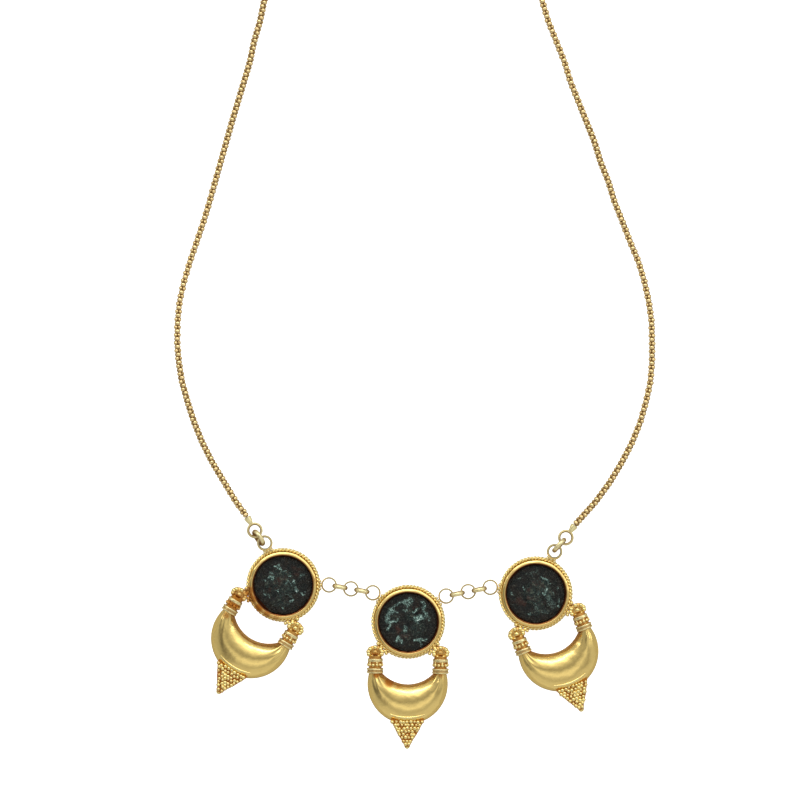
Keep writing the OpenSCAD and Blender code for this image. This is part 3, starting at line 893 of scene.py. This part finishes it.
def granules(seed):
    """Rows of granules that shorten towards the tip; each strays a little from its place"""
    grains = []
    for row in range(GRANULE_ROWS):
        count = GRANULE_ROWS + 1 - row
        for i in range(count):
            across = (i - (count - 1) / 2) * GRANULE_PITCH
            spot = Vector((across, GRANULE_TOP_Y - row * ROW_PITCH, POINT_T))
            spot += noise.noise_vector(Vector((i * 0.7, row * 0.7, seed))) * GRANULE_STRAYS
            growth = 1 + GRANULE_VARIES * noise.noise(Vector((i, row, seed)) * 1.7)
            grains.append(bead(spot, GRANULE_R * growth))
    # Painted shade on the lower part of each granule, down to the darkest brown
    return painted(joined(grains), lambda co: 1.2 * fade(POINT_T + 0.42, POINT_T + 0.05, co.z))


# %% Lip
LIP_MID_R = 11
LIP_MIDDLE_Y = -12.8
LIP_HALF_ANGLE = 23
LIP_Z = 2.2
LIP_R = 0.4
LIP_STEPS = 12


def lip():
    """A bent wire that closes the dome above the point, thinner towards its ends"""
    spots, scales = [], []
    for i in range(LIP_STEPS + 1):
        turn = LIP_HALF_ANGLE * (2 * i / LIP_STEPS - 1) - 90
        spots.append(Vector((0, LIP_MIDDLE_Y, LIP_Z)) + polar(LIP_MID_R, turn))
        scales.append(0.35 + 0.65 * math.sin(math.pi * i / LIP_STEPS))
    bent = wire(spots, LIP_R, 10, scales=scales)
    # Painted shade on the lip's lower half
    return painted(bent, lambda co: 0.8 * fade(LIP_Z, LIP_Z - 0.25, co.z))


# %% Crescents and points in their places
TIP_REACH = 31.7
TIP_R = 0.7


def point(seed):
    """Plate, granules, the clean bead at the tip and the lip above them"""
    # The plate between the granules is painted darkest brown as shade; the tip bead is left clean
    plate = painted(point_plate(), lambda co: 1.3)
    tip = bead(Vector((0, TIP_R - TIP_REACH, POINT_T - TIP_R)), TIP_R, 16, 10)
    return joined([plate, granules(seed), painted(tip, lambda co: 0.0), lip()])


for name, at, turn, _ in SETTINGS:
    node = name + "_setting"
    puffed = with_reflections(laid(crescent(at.x), at, turn))
    finished(name + "_crescent", puffed, GOLD, [node], crease=60)
    finished(name + "_point", laid(point(at.x), at, turn), GRAINED, [node])

# %% [markdown]
# ## Links and soldered rings
# The links are short lengths of flat wire bent into rings, so each is an outline spun round
# its axis. The middle one of each string lies with its hole to the sky, like those soldered
# to the rope, and the ones between them stand on edge. Shade is painted inside the rings and
# where they rub on one another.

# %% Links
LINK_R = 1.975
LINK_BAND = 1.05
LINK_DOME = 0.18
RING_REACH = 11.5


def flat_ring(radius, wall, width, painted_shade=0.5, ends=0.0):
    """A ring of flat wire round Z, domed outside; painted shade inside it, and at its ends along X
    """
    edge = 0.1
    half = width / 2
    inner = radius - wall
    steps = [i / 3 - 1 for i in range(7)]
    outer = [(radius - LINK_DOME * step ** 2, step * (half - edge)) for step in steps]
    profile = [(outer[0][0] - edge, -half)] + outer + [(outer[-1][0] - edge, half)]
    profile += [(inner + edge / 2, half), (inner, half - edge / 2)]
    profile += [(inner, edge / 2 - half), (inner + edge / 2, -half)]
    bm = turned(profile, 48, closed=True)

    # Painted shade on the ring's inner wall, and at its two ends along X
    def worn(co):
        inside = painted_shade * fade(radius - wall * 0.3, inner + 0.06, co.xy.length)
        return max(inside, ends * fade(radius * 0.62, radius * 0.95, abs(co.x)))

    return painted(bm, worn)


# %% Rings on the rope
# Blobs of solder at a ring's foot: reach, turn (degrees), height, radius
BLOBS = [(9.425, 0, 1.75, 0.5), (9.25, -6, 1.75, 0.42), (9.25, 6, 1.75, 0.42)]
HEAVY_BLOBS = [(9.8, -4, 1.85, 0.55), (9.8, 4, 1.85, 0.55)]


def soldered_ring(angle, wall):
    """A ring on the rope with its blobs of solder; a heavy one has more of them"""
    heavy = wall == HEAVY_WALL
    # The inside of a heavy ring gets stronger painted shade
    ring = flat_ring(LINK_R, wall, LINK_BAND, painted_shade=1.0 if heavy else 0.8)
    moved(ring, Matrix.Translation((RING_REACH, 0, LINK_R)))
    blobs = []
    for reach, turn, height, radius in BLOBS + (HEAVY_BLOBS if heavy else []):
        blobs.append(bead(polar(reach, turn) + UP * height, radius))
    solder = painted(joined(blobs), lambda co: 0.1)
    return moved(joined([ring, solder]), rotation(angle, "Z"))


for name, at, _, rings in SETTINGS:
    pair = moved(joined([soldered_ring(*ring) for ring in rings]), Matrix.Translation(at))
    finished(name + "_rings", pair, PALE_GOLD, [name + "_setting"])

# %% Strings of links between the settings
def standing(bm, at, heading, lean, radius):
    """Stand a ring on its rim along a heading, leaning from upright"""
    tilt = math.radians(abs(lean))
    height = radius * math.cos(tilt) + LINK_BAND / 2 * math.sin(tilt)
    place = Matrix.Translation(at + UP * height) @ rotation(heading, "Z")
    return moved(bm, place @ rotation(90 + lean, "X"))


def ring_middle(setting, index):
    """The middle of one of a setting's two soldered rings"""
    _, at, _, rings = setting
    return at + polar(RING_REACH, rings[index][0])


LEFT, CENTRE, RIGHT = SETTINGS
# Each string: name, the soldered rings that it starts and ends at
STRINGS = [
    ("left", ring_middle(LEFT, 0), ring_middle(CENTRE, 0)),
    ("right", ring_middle(RIGHT, 0), ring_middle(CENTRE, 1)),
]
for name, start, end in STRINGS:
    heading = math.degrees(math.atan2(end.y - start.y, end.x - start.x))
    for k in (1, 2, 3):
        node = f"{name}_link_{k}"
        spot = blend(start, end, k / 4)
        if k == 2:
            link = flat_ring(LINK_R, LINK_WALL, LINK_BAND, painted_shade=0.8)
            moved(link, Matrix.Translation(spot + UP * LINK_R))
            finished(node + "_ring", link, PALE_GOLD, [node])
        else:
            link = flat_ring(LINK_R, LINK_WALL, LINK_BAND, painted_shade=0.8, ends=0.9)
            standing(link, spot, heading, 0, LINK_R)
            finished(node + "_ring", link, HANGER_GOLD, [node])

# %% Hangers
HANGER_R = 2.35
# Each hanger: name, middle, heading and lean (degrees)
HANGERS = [
    ("left_hanger", Vector((-37.3, 21.1, 0)), 124, 17),
    ("right_hanger", Vector((37.65, 19.25, 0)), 47, -7),
]
for name, at, heading, lean in HANGERS:
    link = flat_ring(HANGER_R, LINK_WALL, LINK_BAND, painted_shade=1.0, ends=1.0)
    standing(link, at, heading, lean, HANGER_R)
    finished(name + "_ring", link, HANGER_GOLD, [name])

# %% [markdown]
# ## Chain ends and clasp
# The last link of the popcorn chain is soldered into a small cone with a round ring on it. The
# clasp behind the neck is a plain barrel with an eye at each end. All of them are outlines
# spun round an axis, and nobody sees the clasp when the necklace is worn.

# %% Places behind the neck
END_RING_MID_R = 1.65
CLASP_AT = Vector((-1, 181.49, 0))
CLASP_LEN = 8
EYE_MID_R = 1.35
EYE_X = CLASP_LEN / 2 + EYE_MID_R + 0.15
BACK_BEND = 12
BACK_LINK_REACH = EYE_MID_R + 0.75
BACK_END_REACH = BACK_LINK_REACH + 0.75 + END_RING_MID_R


def back_at(side, reach):
    """A place behind the neck, on the line that leaves the clasp's eye on that side"""
    bend = math.radians(BACK_BEND)
    return CLASP_AT + Vector((side * (EYE_X + reach * math.cos(bend)), -reach * math.sin(bend), 0))


# %% Chain ends
END_WIRE_R = 0.35
END_RING_Z = 1.3
END_TILT = 5
CAP_FROM = END_RING_MID_R + 0.15
CAP_TO = 4
CAP_R = 0.9


def round_ring(mid_r, wire_r):
    """A hoop of round wire, its axis along Z"""
    return turned(arc((mid_r, 0), wire_r, 0, 330, 11), 36, closed=True)


def chain_end(at, heading):
    """Ring and cone, along +X, then turned to the chain's heading"""
    ring = round_ring(END_RING_MID_R, END_WIRE_R)
    # Painted shade on the ring's inner side, over a little brown all round
    painted(ring, lambda co: 0.3 + 0.65 * fade(1.8, 1.45, co.xy.length))
    cone = [(0, 0), (0.42, 0), (0.5, 0.1), (0.62, 0.5), (0.8, 1.0), (0.88, 1.35), (CAP_R, 1.7)]
    cone += [(CAP_R, 1.95), (0.8, 2.02), (0, 2.02)]
    # Painted shade on the cap's wide end, where the chain goes in
    cap = painted(turned(cone, 28), lambda co: 0.9 * fade(1.85, 2.0, co.z))
    moved(cap, Matrix.Translation((CAP_FROM, 0, 0)) @ rotation(90, "Y"))
    place = Matrix.Translation(at + UP * END_RING_Z) @ rotation(heading, "Z")
    return moved(joined([ring, cap]), place @ rotation(END_TILT, "Y"))


# %% Chain ends in their places
BACK_DIR = 22
# Each chain end: node, middle of its ring, heading of the chain that leaves it
CHAIN_ENDS = {
    "left_front_end": (Vector((-38.3, 22.9, 0)), 120),
    "right_front_end": (Vector((39.35, 21.1, 0)), 54),
    "left_back_end": (back_at(-1, BACK_END_REACH), BACK_DIR - 180),
    "right_back_end": (back_at(1, BACK_END_REACH), -BACK_DIR),
}
for node, (at, heading) in CHAIN_ENDS.items():
    finished(node + "_cap", chain_end(at, heading), END_GOLD, [node])

# %% Clasp and the links beside it
CLASP_R = 1.4


def clasp():
    """A turned barrel with two grooves, and an eye at each end"""
    half = CLASP_LEN / 2
    right = [(CLASP_R, 2.2), (CLASP_R - 0.12, 2.35), (CLASP_R, 2.5), (CLASP_R, half - 0.45)]
    right += [(CLASP_R - 0.15, half - 0.12), (CLASP_R - 0.45, half), (0, half)]
    profile = [(reach, -z) for reach, z in reversed(right)] + right
    parts = [moved(turned(profile, 36), rotation(90, "Y"))]
    for side in (-1, 1):
        eye = round_ring(EYE_MID_R, END_WIRE_R)
        parts.append(moved(eye, Matrix.Translation((side * EYE_X, 0, 0))))
    whole = moved(joined(parts), Matrix.Translation(CLASP_AT + UP * CLASP_R))
    return painted(whole, lambda co: 0.15)


finished("clasp_barrel", clasp(), GOLD, ["clasp"])
# Each back link: side, name, heading
BACK_LINKS = [(-1, "left_back_link", 180 + BACK_BEND), (1, "right_back_link", -BACK_BEND)]
for side, name, heading in BACK_LINKS:
    link = flat_ring(LINK_R, LINK_WALL, LINK_BAND)
    standing(link, back_at(side, BACK_LINK_REACH), heading, 0, LINK_R)
    finished(name + "_ring", link, PALE_GOLD, [name])

# %% [markdown]
# ## Popcorn chain
# Every link is a pair of small oval cups, back to back, and each link is turned a quarter
# from the one before, so the chain looks like two rows of kernels. One link is made once, from
# two stretched spheres of a few faces, and copied along the route, with the slow twist that a
# round chain takes on a table.

# %% Route of the chain
# Each route: x, y of the chain's middle line (mm), from its front end round to its back end
LEFT_ROUTE = [
    (-43, 30), (-46, 35), (-49, 40), (-51.5, 45), (-53.5, 50), (-55.1, 55), (-56.5, 60),
    (-57.3, 65), (-57.7, 70), (-57.6, 75), (-57.1, 80), (-56, 85), (-54.5, 90), (-52.8, 95),
    (-51.1, 100), (-49.6, 105), (-48.2, 110), (-46.8, 115), (-45.4, 120), (-44, 125),
    (-42.5, 130), (-41, 135), (-39.5, 140), (-38.5, 145), (-37, 150), (-36, 155),
    (-34, 160), (-31.5, 165), (-28.5, 169.5), (-24.5, 173.5), (-19.5, 177)]
RIGHT_ROUTE = [
    (46.7, 29.9), (50.3, 34.8), (53.3, 39.8), (55.9, 44.8), (58, 50), (59.4, 55), (60.5, 60),
    (60.9, 65), (60.9, 70), (60.8, 75), (60.1, 80), (59, 85), (57.5, 90), (55.4, 95),
    (53.5, 100), (51.5, 105), (50, 110), (48, 115), (46.5, 120), (44.5, 125),
    (42.5, 130), (40.5, 135), (39, 140), (37, 145), (35, 150), (33.5, 155),
    (31.5, 160), (29, 165), (25.5, 169.5), (21.5, 173.5), (16.5, 177)]


# %% Along the route
def full_route(side, points):
    """The route with the ends of its two caps added"""
    front, back = (
        at + polar(CAP_TO, heading)
        for at, heading in (CHAIN_ENDS[side + "_front_end"], CHAIN_ENDS[side + "_back_end"]))
    return [front] + [Vector((x, y, 0)) for x, y in points] + [back]


def leg_lengths(points):
    """The length of each leg between two points of a route"""
    return [(b - a).length for a, b in zip(points, points[1:])]


def walk(points, count):
    """count places spread evenly along the route, each with its heading"""
    lengths = leg_lengths(points)
    total = sum(lengths)
    places = []
    leg, gone = 0, 0.0
    for i in range(count):
        want = total * (i + 0.5) / count
        while gone + lengths[leg] < want and leg < len(lengths) - 1:
            gone += lengths[leg]
            leg += 1
        share = (want - gone) / lengths[leg]
        ahead = behind = points[leg + 1] - points[leg]
        if leg and share < 0.5:
            behind = points[leg] - points[leg - 1]
        heading = blend(behind, ahead, 0.5 + share).normalized()
        places.append((points[leg] + ahead * share, heading))
    return places


# %% Roll of the chain
# How far each chain has rolled over at a distance from its front end: mm, degrees
LEFT_ROLLS = [(0, 85), (10, 65), (25, 50), (37, 40), (49, 12), (64, 0), (79, -10), (104, -30),
              (135, -45)]
RIGHT_ROLLS = [(7, 48), (19, 52), (28, 65), (40, 75), (52, 72), (67, 78), (77, 70), (87, 64),
               (97, 50), (107, 38), (113, 15), (125, 5), (140, 0)]


def roll_at(stops, distance):
    """The chain's roll at a distance, between the two stops around it"""
    for (near, roll), (far, next_roll) in zip(stops, stops[1:]):
        if distance < far:
            return blend(roll, next_roll, max(0, (distance - near) / (far - near)))
    return stops[-1][1]


# %% One popcorn link
KERNEL_OUT = 0.33
KERNEL_SIZE = (0.6, 0.76, 0.62)


def popcorn_link():
    """Two oval cups back to back, one to each side of the chain's middle"""
    cups = []
    for side in (-1, 1):
        cup = bead(Vector((0, 0, 0)), 1, 10, 6)
        moved(cup, Matrix.Diagonal((*KERNEL_SIZE, 1)) @ rotation(90, "Y"))
        moved(cup, Matrix.Translation((side * KERNEL_OUT, 0, 0)))
        cups.append(cup)

    # Painted shade in the crease between the two cups and where each link meets its neighbours
    def crease_shade(co):
        return max(fade(0.42, 0.18, abs(co.x)), fade(0.36, 0.56, abs(co.z)))

    return as_mesh(painted(joined(cups), crease_shade), "popcorn link")


# %% Popcorn chain
CHAIN_Z = 0.95
LINK_STEP = 0.98
ROLL_SHAKE = 7


def popcorn_chain(points, rolls):
    """Links laid along the route, each a quarter turn from the last"""
    link = popcorn_link()
    total = sum(leg_lengths(points))
    count = round(total / LINK_STEP)
    bm = bmesh.new()
    for i, (spot, along) in enumerate(walk(points, count)):
        shake = ROLL_SHAKE * noise.noise(Vector((i * 0.37, 0, 0)))
        roll = rotation(roll_at(rolls, i * LINK_STEP) + 90 * i + shake, "Z")
        stand = Matrix((UP.cross(along), UP, along)).transposed().to_4x4()
        place = Matrix.Translation(spot + UP * CHAIN_Z) @ stand @ roll
        before = len(bm.verts)
        bm.from_mesh(link)
        bm.verts.ensure_lookup_table()
        bmesh.ops.transform(bm, matrix=place, verts=bm.verts[before:])
    bpy.data.meshes.remove(link)
    print(count, "links in", round(total), "mm")
    return bm


for side, points, rolls in (
        ("left", LEFT_ROUTE, LEFT_ROLLS), ("right", RIGHT_ROUTE, RIGHT_ROLLS)):
    bm = popcorn_chain(full_route(side, points), rolls)
    finished(side + "_popcorn", bm, CHAIN_GOLD, [side + "_chain"])

# %% [markdown]
# ## Coins
# The coins are struck bronze, worn almost smooth and buried long enough to turn near black,
# with turquoise verdigris on what still stands proud. Each is a turned disc whose face is
# pushed up by a short table of worn ridges, and a second table says where the verdigris holds.

# %% Worn ridges
# Each ridge, in units of the coin's radius: start x, start y, end x, end y, half width, height.
# The side of a plain worn head that looks right
FACE = [
    (0.12, 0.12, 0.12, -0.1, 0.24, 0.95), (0.27, 0.2, 0.31, 0.18, 0.08, 0.85),
    (0.33, 0.08, 0.38, -0.02, 0.08, 0.75), (0.31, -0.13, 0.32, -0.17, 0.06, 0.75),
    (0.22, -0.28, 0.26, -0.28, 0.09, 0.85)]
LEFT_RELIEF = FACE + [
    (-0.12, 0.22, -0.02, 0.22, 0.38, 1), (-0.02, -0.15, -0.12, -0.5, 0.18, 0.8),
    (-0.34, -0.62, 0.14, -0.64, 0.12, 0.7), (-0.5, 0.06, -0.54, 0.02, 0.13, 0.9),
    (-0.46, 0.3, 0.24, 0.42, 0.07, 1.1), (-0.36, -0.1, -0.4, -0.34, 0.06, 0.6)]
CENTRE_RELIEF = [
    (-0.74, 0, -0.6, 0.5, 0.08, 0.9), (-0.6, 0.5, -0.25, 0.7, 0.08, 0.9),
    (-0.25, 0.7, 0.14, 0.77, 0.09, 0.9), (-0.53, 0.2, -0.53, 0.22, 0.2, 0.6),
    (-0.34, 0.14, -0.6, -0.06, 0.07, 0.9), (-0.6, -0.06, -0.7, -0.26, 0.07, 0.8),
    (0.28, 0.08, 0.44, 0.18, 0.14, 1.1), (0.17, 0.3, 0.36, 0.47, 0.07, 0.9),
    (0.5, 0.7, 0.62, 0.25, 0.07, 0.9), (0.31, -0.24, 0.33, -0.24, 0.3, 0.8),
    (-0.02, 0.45, 0.05, 0.2, 0.18, 0.7), (-0.1, -0.2, -0.3, -0.6, 0.08, 0.8),
    (0.22, -0.62, 0.56, -0.62, 0.07, 0.9), (-0.08, -0.5, 0.02, -0.54, 0.11, 0.8)]
# The same face, looking left
RIGHT_RELIEF = [(-ax, ay, -bx, by, half, height) for ax, ay, bx, by, half, height in FACE] + [
    (0.02, 0.22, 0.12, 0.22, 0.36, 1), (0.02, -0.15, 0.12, -0.5, 0.2, 0.8),
    (-0.14, -0.66, 0.38, -0.6, 0.12, 0.7), (0.17, 0.54, 0.41, 0.45, 0.08, 1),
    (0.42, 0.3, 0.5, -0.12, 0.1, 0.9), (0.5, -0.12, 0.42, -0.4, 0.08, 0.7)]

# %% Worn relief
PITS = 0.18


def nearness(x, y, ridge):
    """1 on a ridge's middle line, 0 at its edge and beyond"""
    ax, ay, bx, by, half, _ = ridge
    dx, dy = bx - ax, by - ay
    t = min(1.0, max(0.0, ((x - ax) * dx + (y - ay) * dy) / (dx * dx + dy * dy)))
    away = math.hypot(x - ax - dx * t, y - ay - dy * t) / half
    return max(0.0, 1 - away)


def relief(x, y, ridges):
    """Height of the worn face at a place, from 0 to about 1"""
    best = 0.0
    for ridge in ridges:
        rounded = math.sqrt(1 - (1 - nearness(x, y, ridge)) ** 2)
        best = max(best, ridge[5] * rounded)
    return 0.8 * best + PITS * noise.fractal(Vector((x, y, 0)) * 6, 1.0, 2.0, 4)


# %% Verdigris
# Each streak of verdigris, in the same units: start x, start y, end x, end y, half width,
# strength. Above 1 it is painted whitish, as glints on the verdigris.
LEFT_VERDIGRIS = [
    (-0.24, 0.62, -0.13, 0.7, 0.06, 0.9), (-0.2, 0.62, -0.1, 0.62, 0.05, 0.8),
    (-0.5, 0.3, -0.38, 0.36, 0.07, 1.3), (-0.4, 0.3, -0.36, 0.25, 0.05, 1),
    (-0.62, 0.22, -0.66, 0.14, 0.04, 0.6), (0.12, 0.08, 0.22, 0.1, 0.05, 1.3),
    (0.22, 0.1, 0.3, 0.02, 0.04, 0.8), (0.37, 0.14, 0.44, 0.12, 0.05, 1.2),
    (0.2, 0.32, 0.28, 0.34, 0.04, 0.7), (0.6, 0.3, 0.7, 0.34, 0.06, 0.7),
    (0.42, -0.16, 0.5, -0.22, 0.07, 1.4), (0.4, -0.12, 0.4, -0.04, 0.04, 0.8),
    (0.66, -0.32, 0.74, -0.28, 0.04, 0.8), (-0.26, -0.14, -0.2, -0.24, 0.04, 1.1),
    (0.24, -0.55, 0.34, -0.53, 0.05, 1), (-0.08, -0.8, -0.02, -0.84, 0.05, 1),
    (0.2, -0.68, 0.26, -0.7, 0.04, 0.6), (-0.1, 0.45, 0.1, 0.5, 0.04, 0.45),
    (-0.7, -0.2, -0.5, -0.45, 0.04, 0.35), (0.1, -0.3, 0.3, -0.4, 0.04, 0.4)]
CENTRE_VERDIGRIS = [
    (-0.74, 0, -0.68, 0.3, 0.06, 0.8), (-0.68, 0.3, -0.5, 0.58, 0.07, 0.9),
    (-0.5, 0.58, -0.2, 0.72, 0.06, 0.8), (-0.2, 0.72, 0.14, 0.77, 0.08, 0.9),
    (-0.6, 0.36, -0.5, 0.44, 0.05, 1.2), (-0.62, 0.5, -0.46, 0.4, 0.04, 0.9),
    (0.08, 0.72, 0.12, 0.62, 0.05, 1), (-0.1, 0.62, 0.08, 0.66, 0.08, 0.8),
    (-0.34, 0.14, -0.6, -0.04, 0.07, 1), (-0.74, 0.02, -0.6, -0.06, 0.07, 0.9),
    (-0.62, -0.06, -0.7, -0.26, 0.08, 1), (0.28, 0.08, 0.46, 0.18, 0.13, 0.85),
    (0.3, 0.04, 0.5, 0.18, 0.04, 1.3), (0.17, 0.32, 0.34, 0.46, 0.04, 1.3),
    (0.51, 0.7, 0.62, 0.25, 0.08, 0.8), (-0.13, -0.2, -0.16, -0.3, 0.08, 0.8),
    (-0.3, -0.5, -0.4, -0.66, 0.08, 0.9), (-0.3, -0.5, -0.24, -0.72, 0.06, 0.8),
    (0.24, -0.62, 0.58, -0.6, 0.07, 0.95), (0.4, -0.62, 0.44, -0.78, 0.06, 0.8),
    (-0.12, 0.4, -0.04, 0.42, 0.06, 0.6), (0.68, 0.2, 0.72, 0.05, 0.06, 0.5)]
RIGHT_VERDIGRIS = [
    (0.2, 0.56, 0.36, 0.51, 0.04, 0.9), (0.36, 0.51, 0.5, 0.4, 0.04, 0.8),
    (0.38, 0.19, 0.42, 0.12, 0.05, 1.4), (0.26, -0.02, 0.36, 0.07, 0.045, 0.9),
    (0.1, 0.06, 0.1, -0.05, 0.04, 0.7), (0.71, 0.17, 0.75, 0.17, 0.04, 1),
    (0.79, -0.22, 0.8, -0.3, 0.035, 0.8), (0.8, -0.4, 0.83, -0.47, 0.035, 0.8),
    (-0.27, -0.7, -0.23, -0.68, 0.045, 1.5), (-0.43, 0.24, -0.39, 0.2, 0.045, 0.6),
    (-0.65, 0.56, -0.58, 0.58, 0.045, 0.6), (-0.87, 0.0, -0.84, 0.08, 0.05, 0.7),
    (0.36, -0.12, 0.6, -0.42, 0.16, 0.2), (0.3, 0.1, 0.4, -0.1, 0.12, 0.2),
    (-0.05, -0.3, 0.02, -0.55, 0.09, 0.18), (0.2, -0.62, 0.4, -0.66, 0.07, 0.2),
    (-0.3, 0.7, 0.1, 0.75, 0.08, 0.12), (0.5, 0.1, 0.62, -0.1, 0.04, 0.3)]
# Each ruddy patch, in the same units
LEFT_RUDDY = [(-0.4, -0.2, 0, 0.2, 0.2, 0.35), (0.3, 0.6, 0.5, 0.5, 0.2, 0.3)]
CENTRE_RUDDY = [
    (-0.13, -0.52, -0.08, -0.5, 0.15, 1), (0.22, 0.58, 0.24, 0.56, 0.16, 0.9),
    (-0.3, -0.2, -0.35, -0.24, 0.14, 0.6), (0.3, 0.3, 0.4, 0.25, 0.12, 0.5)]
RIGHT_RUDDY = [
    (-0.7, -0.3, -0.5, -0.3, 0.22, 0.3), (-0.22, 0.1, -0.18, -0.1, 0.2, 0.35),
    (0, 0.4, 0.2, 0.3, 0.2, 0.3)]


# %% Ragged streaks
def streaks(x, y, rows, raggedness):
    """How strongly a place is covered by ragged streaks"""
    shift = noise.noise_vector(Vector((x, y, 0.5)) * 7) * raggedness
    shift += noise.noise_vector(Vector((x, y, 0.9)) * 22) * raggedness * 0.4
    return max(row[5] * fade(0.0, 0.8, nearness(x + shift.x, y + shift.y, row)) for row in rows)


# %% Edge of a coin
COIN_R = 7.25
COIN_EDGE_WAVE = 0.12


def worn_edge(angle, worn_side, worn_reach):
    """Reach of the wavy edge in a direction; one side is worn flat"""
    wave = (1 + math.sin(math.radians(3 * angle + worn_side))) / 2
    facing = math.cos(math.radians(angle - worn_side))
    flat = COIN_R * worn_reach / facing if facing > 0.2 else COIN_R
    return min(COIN_R - COIN_EDGE_WAVE * wave, flat)


# %% Coin discs
COIN_T = 1.2
COIN_SEAT = PLATE_T + 0.04
RELIEF_H = 0.36
FACE_RINGS = 76
FACE_SPOKES = 220
GRAIN_H = 0.06
CRUST_H = 0.05
EDGE_WEAR = 0.25


def coin(ridges, green_rows, ruddy_rows, worn_side, worn_reach, seed):
    """A disc whose face is pushed up, coloured by three values and worn at the edge"""
    face_z = COIN_SEAT + COIN_T
    profile = [(0, COIN_SEAT), (COIN_R, COIN_SEAT), (COIN_R, face_z - 0.35)]
    profile += [(COIN_R * (1 - i / FACE_RINGS), face_z) for i in range(FACE_RINGS + 1)]
    bm = turned(profile, FACE_SPOKES)
    names = ("relief", "verdigris", "ruddy")
    relief_layer, green_layer, ruddy_layer = [bm.verts.layers.float.new(name) for name in names]
    for vert in bm.verts:
        x, y = vert.co.x / COIN_R, vert.co.y / COIN_R
        if vert.co.z > face_z - 0.1:
            reach = math.hypot(x, y)
            up = relief(x, y, ridges)
            crust = streaks(x, y, green_rows, 0.1)
            grain = noise.fractal(Vector((x, y, seed)) * 13, 0.8, 2.0, 4)
            vert.co.z += RELIEF_H * up * fade(1.0, 0.93, reach) + GRAIN_H * grain
            vert.co.z += CRUST_H * crust - EDGE_WEAR * reach ** 12
            vert[relief_layer] = up
            vert[green_layer] = crust
            vert[ruddy_layer] = streaks(x, y, ruddy_rows, 0.12)
        edge = worn_edge(math.degrees(math.atan2(y, x)), worn_side, worn_reach)
        vert.co.x *= edge / COIN_R
        vert.co.y *= edge / COIN_R
    return bm


# %% [markdown]
# ## Bronze patina
# Near-black green and brown mottling lies over the whole coin, with a dark green bloom on what
# stands proud. Verdigris is chalky, so it is rough and pale, and broken up by fine noise. The
# ruddy patches are copper oxide. Relief, verdigris and ruddy patches come from the values
# that each vertex carries, so the colours stay on the coin's own worn face.

# %% Colours of the patina
BLACK_GREEN, BLACK_BROWN = (0.002, 0.005, 0.004), (0.014, 0.01, 0.006)
BLOOM_GREEN = (0.025, 0.06, 0.05)
COPPER_OXIDE = (0.1, 0.03, 0.018)
VERDIGRIS_THIN, VERDIGRIS_THICK = (0.05, 0.13, 0.115), (0.5, 0.76, 0.66)
# Painted glints on the thickest verdigris
VERDIGRIS_GLINT = (0.85, 0.95, 0.88)


def bare_bronze(tree, mottle, fine, raised, ruddy):
    """Colour of the coin below the crust"""
    colour = mixed(tree, mottle, BLACK_GREEN, BLACK_BROWN)
    bloom = worked(tree, "MULTIPLY", ranged(tree, raised, 0.1, 0.7, 0, 0.7), fine)
    colour = mixed(tree, bloom, colour, BLOOM_GREEN)
    return mixed(tree, worked(tree, "MULTIPLY", ruddy, mottle), colour, COPPER_OXIDE)


def crust_colour(tree, fine, crust):
    """Colour of the verdigris, with painted whitish glints where it is thickest"""
    colour = mixed(tree, fine, VERDIGRIS_THIN, VERDIGRIS_THICK)
    return mixed(tree, ranged(tree, crust, 0.9, 1.25, 0, 0.9), colour, VERDIGRIS_GLINT)


# %% Patina material
MOTTLE_PER_M = 700
FLECKS_PER_M = 1700
FINE_PER_M = 3200
PATINA_DEPTH = 0.12 * MM
FLECK_GREY = (0.12, 0.14, 0.1)


def patina_material():
    """Old bronze: mottled black, ruddy patches, turquoise crust on the worn relief"""
    material, tree, shader = new_material("patinated bronze")
    coords = add_node(tree, "ShaderNodeTexCoord").outputs["Object"]
    green, ruddy, raised = (
        add_node(tree, "ShaderNodeAttribute", attribute_name=name).outputs["Fac"]
        for name in ("verdigris", "ruddy", "relief"))
    mottle = ranged(tree, noise_at(tree, coords, MOTTLE_PER_M, 5), 0.4, 0.65)
    fine = ranged(tree, noise_at(tree, coords, FINE_PER_M, 4), 0.42, 0.62)
    flecks = ranged(tree, noise_at(tree, coords, FLECKS_PER_M, 3), 0.55, 0.64)
    stray = worked(tree, "MULTIPLY", ranged(tree, raised, -0.1, 0.8, 0.25, 1.0), flecks)
    crust = worked(tree, "MULTIPLY", green, ranged(tree, fine, 0, 1, 0.25, 1.0))
    bare = bare_bronze(tree, mottle, fine, raised, ruddy)
    bare = mixed(tree, worked(tree, "MULTIPLY", stray, 0.6), bare, FLECK_GREY)
    covered = worked(tree, "MINIMUM", crust, 1.0)
    colour = mixed(tree, covered, bare, crust_colour(tree, fine, crust))
    chalky = worked(tree, "MAXIMUM", crust, worked(tree, "MULTIPLY", stray, 0.3))
    tree.links.new(colour, shader.inputs["Base Color"])
    tree.links.new(ranged(tree, chalky, 0, 0.6, 0.2, 0.7), shader.inputs["Roughness"])
    shader.inputs["Specular IOR Level"].default_value = 0.35
    bumped(tree, shader, worked(tree, "ADD", fine, mottle), PATINA_DEPTH)
    return material


PATINA = patina_material()

# %% Coins in their places
# Each coin: its tables, and where its edge is worn flat (direction in degrees, reach)
COINS = {
    "left": (LEFT_RELIEF, LEFT_VERDIGRIS, LEFT_RUDDY, 222, 0.93),
    "centre": (CENTRE_RELIEF, CENTRE_VERDIGRIS, CENTRE_RUDDY, 128, 0.97),
    "right": (RIGHT_RELIEF, RIGHT_VERDIGRIS, RIGHT_RUDDY, 135, 0.96),
}
for name, at, _, _ in SETTINGS:
    disc = laid(coin(*COINS[name], seed=at.x), at, 0)
    finished(name + "_coin_disc", disc, PATINA, [name + "_coin"], crease=60)
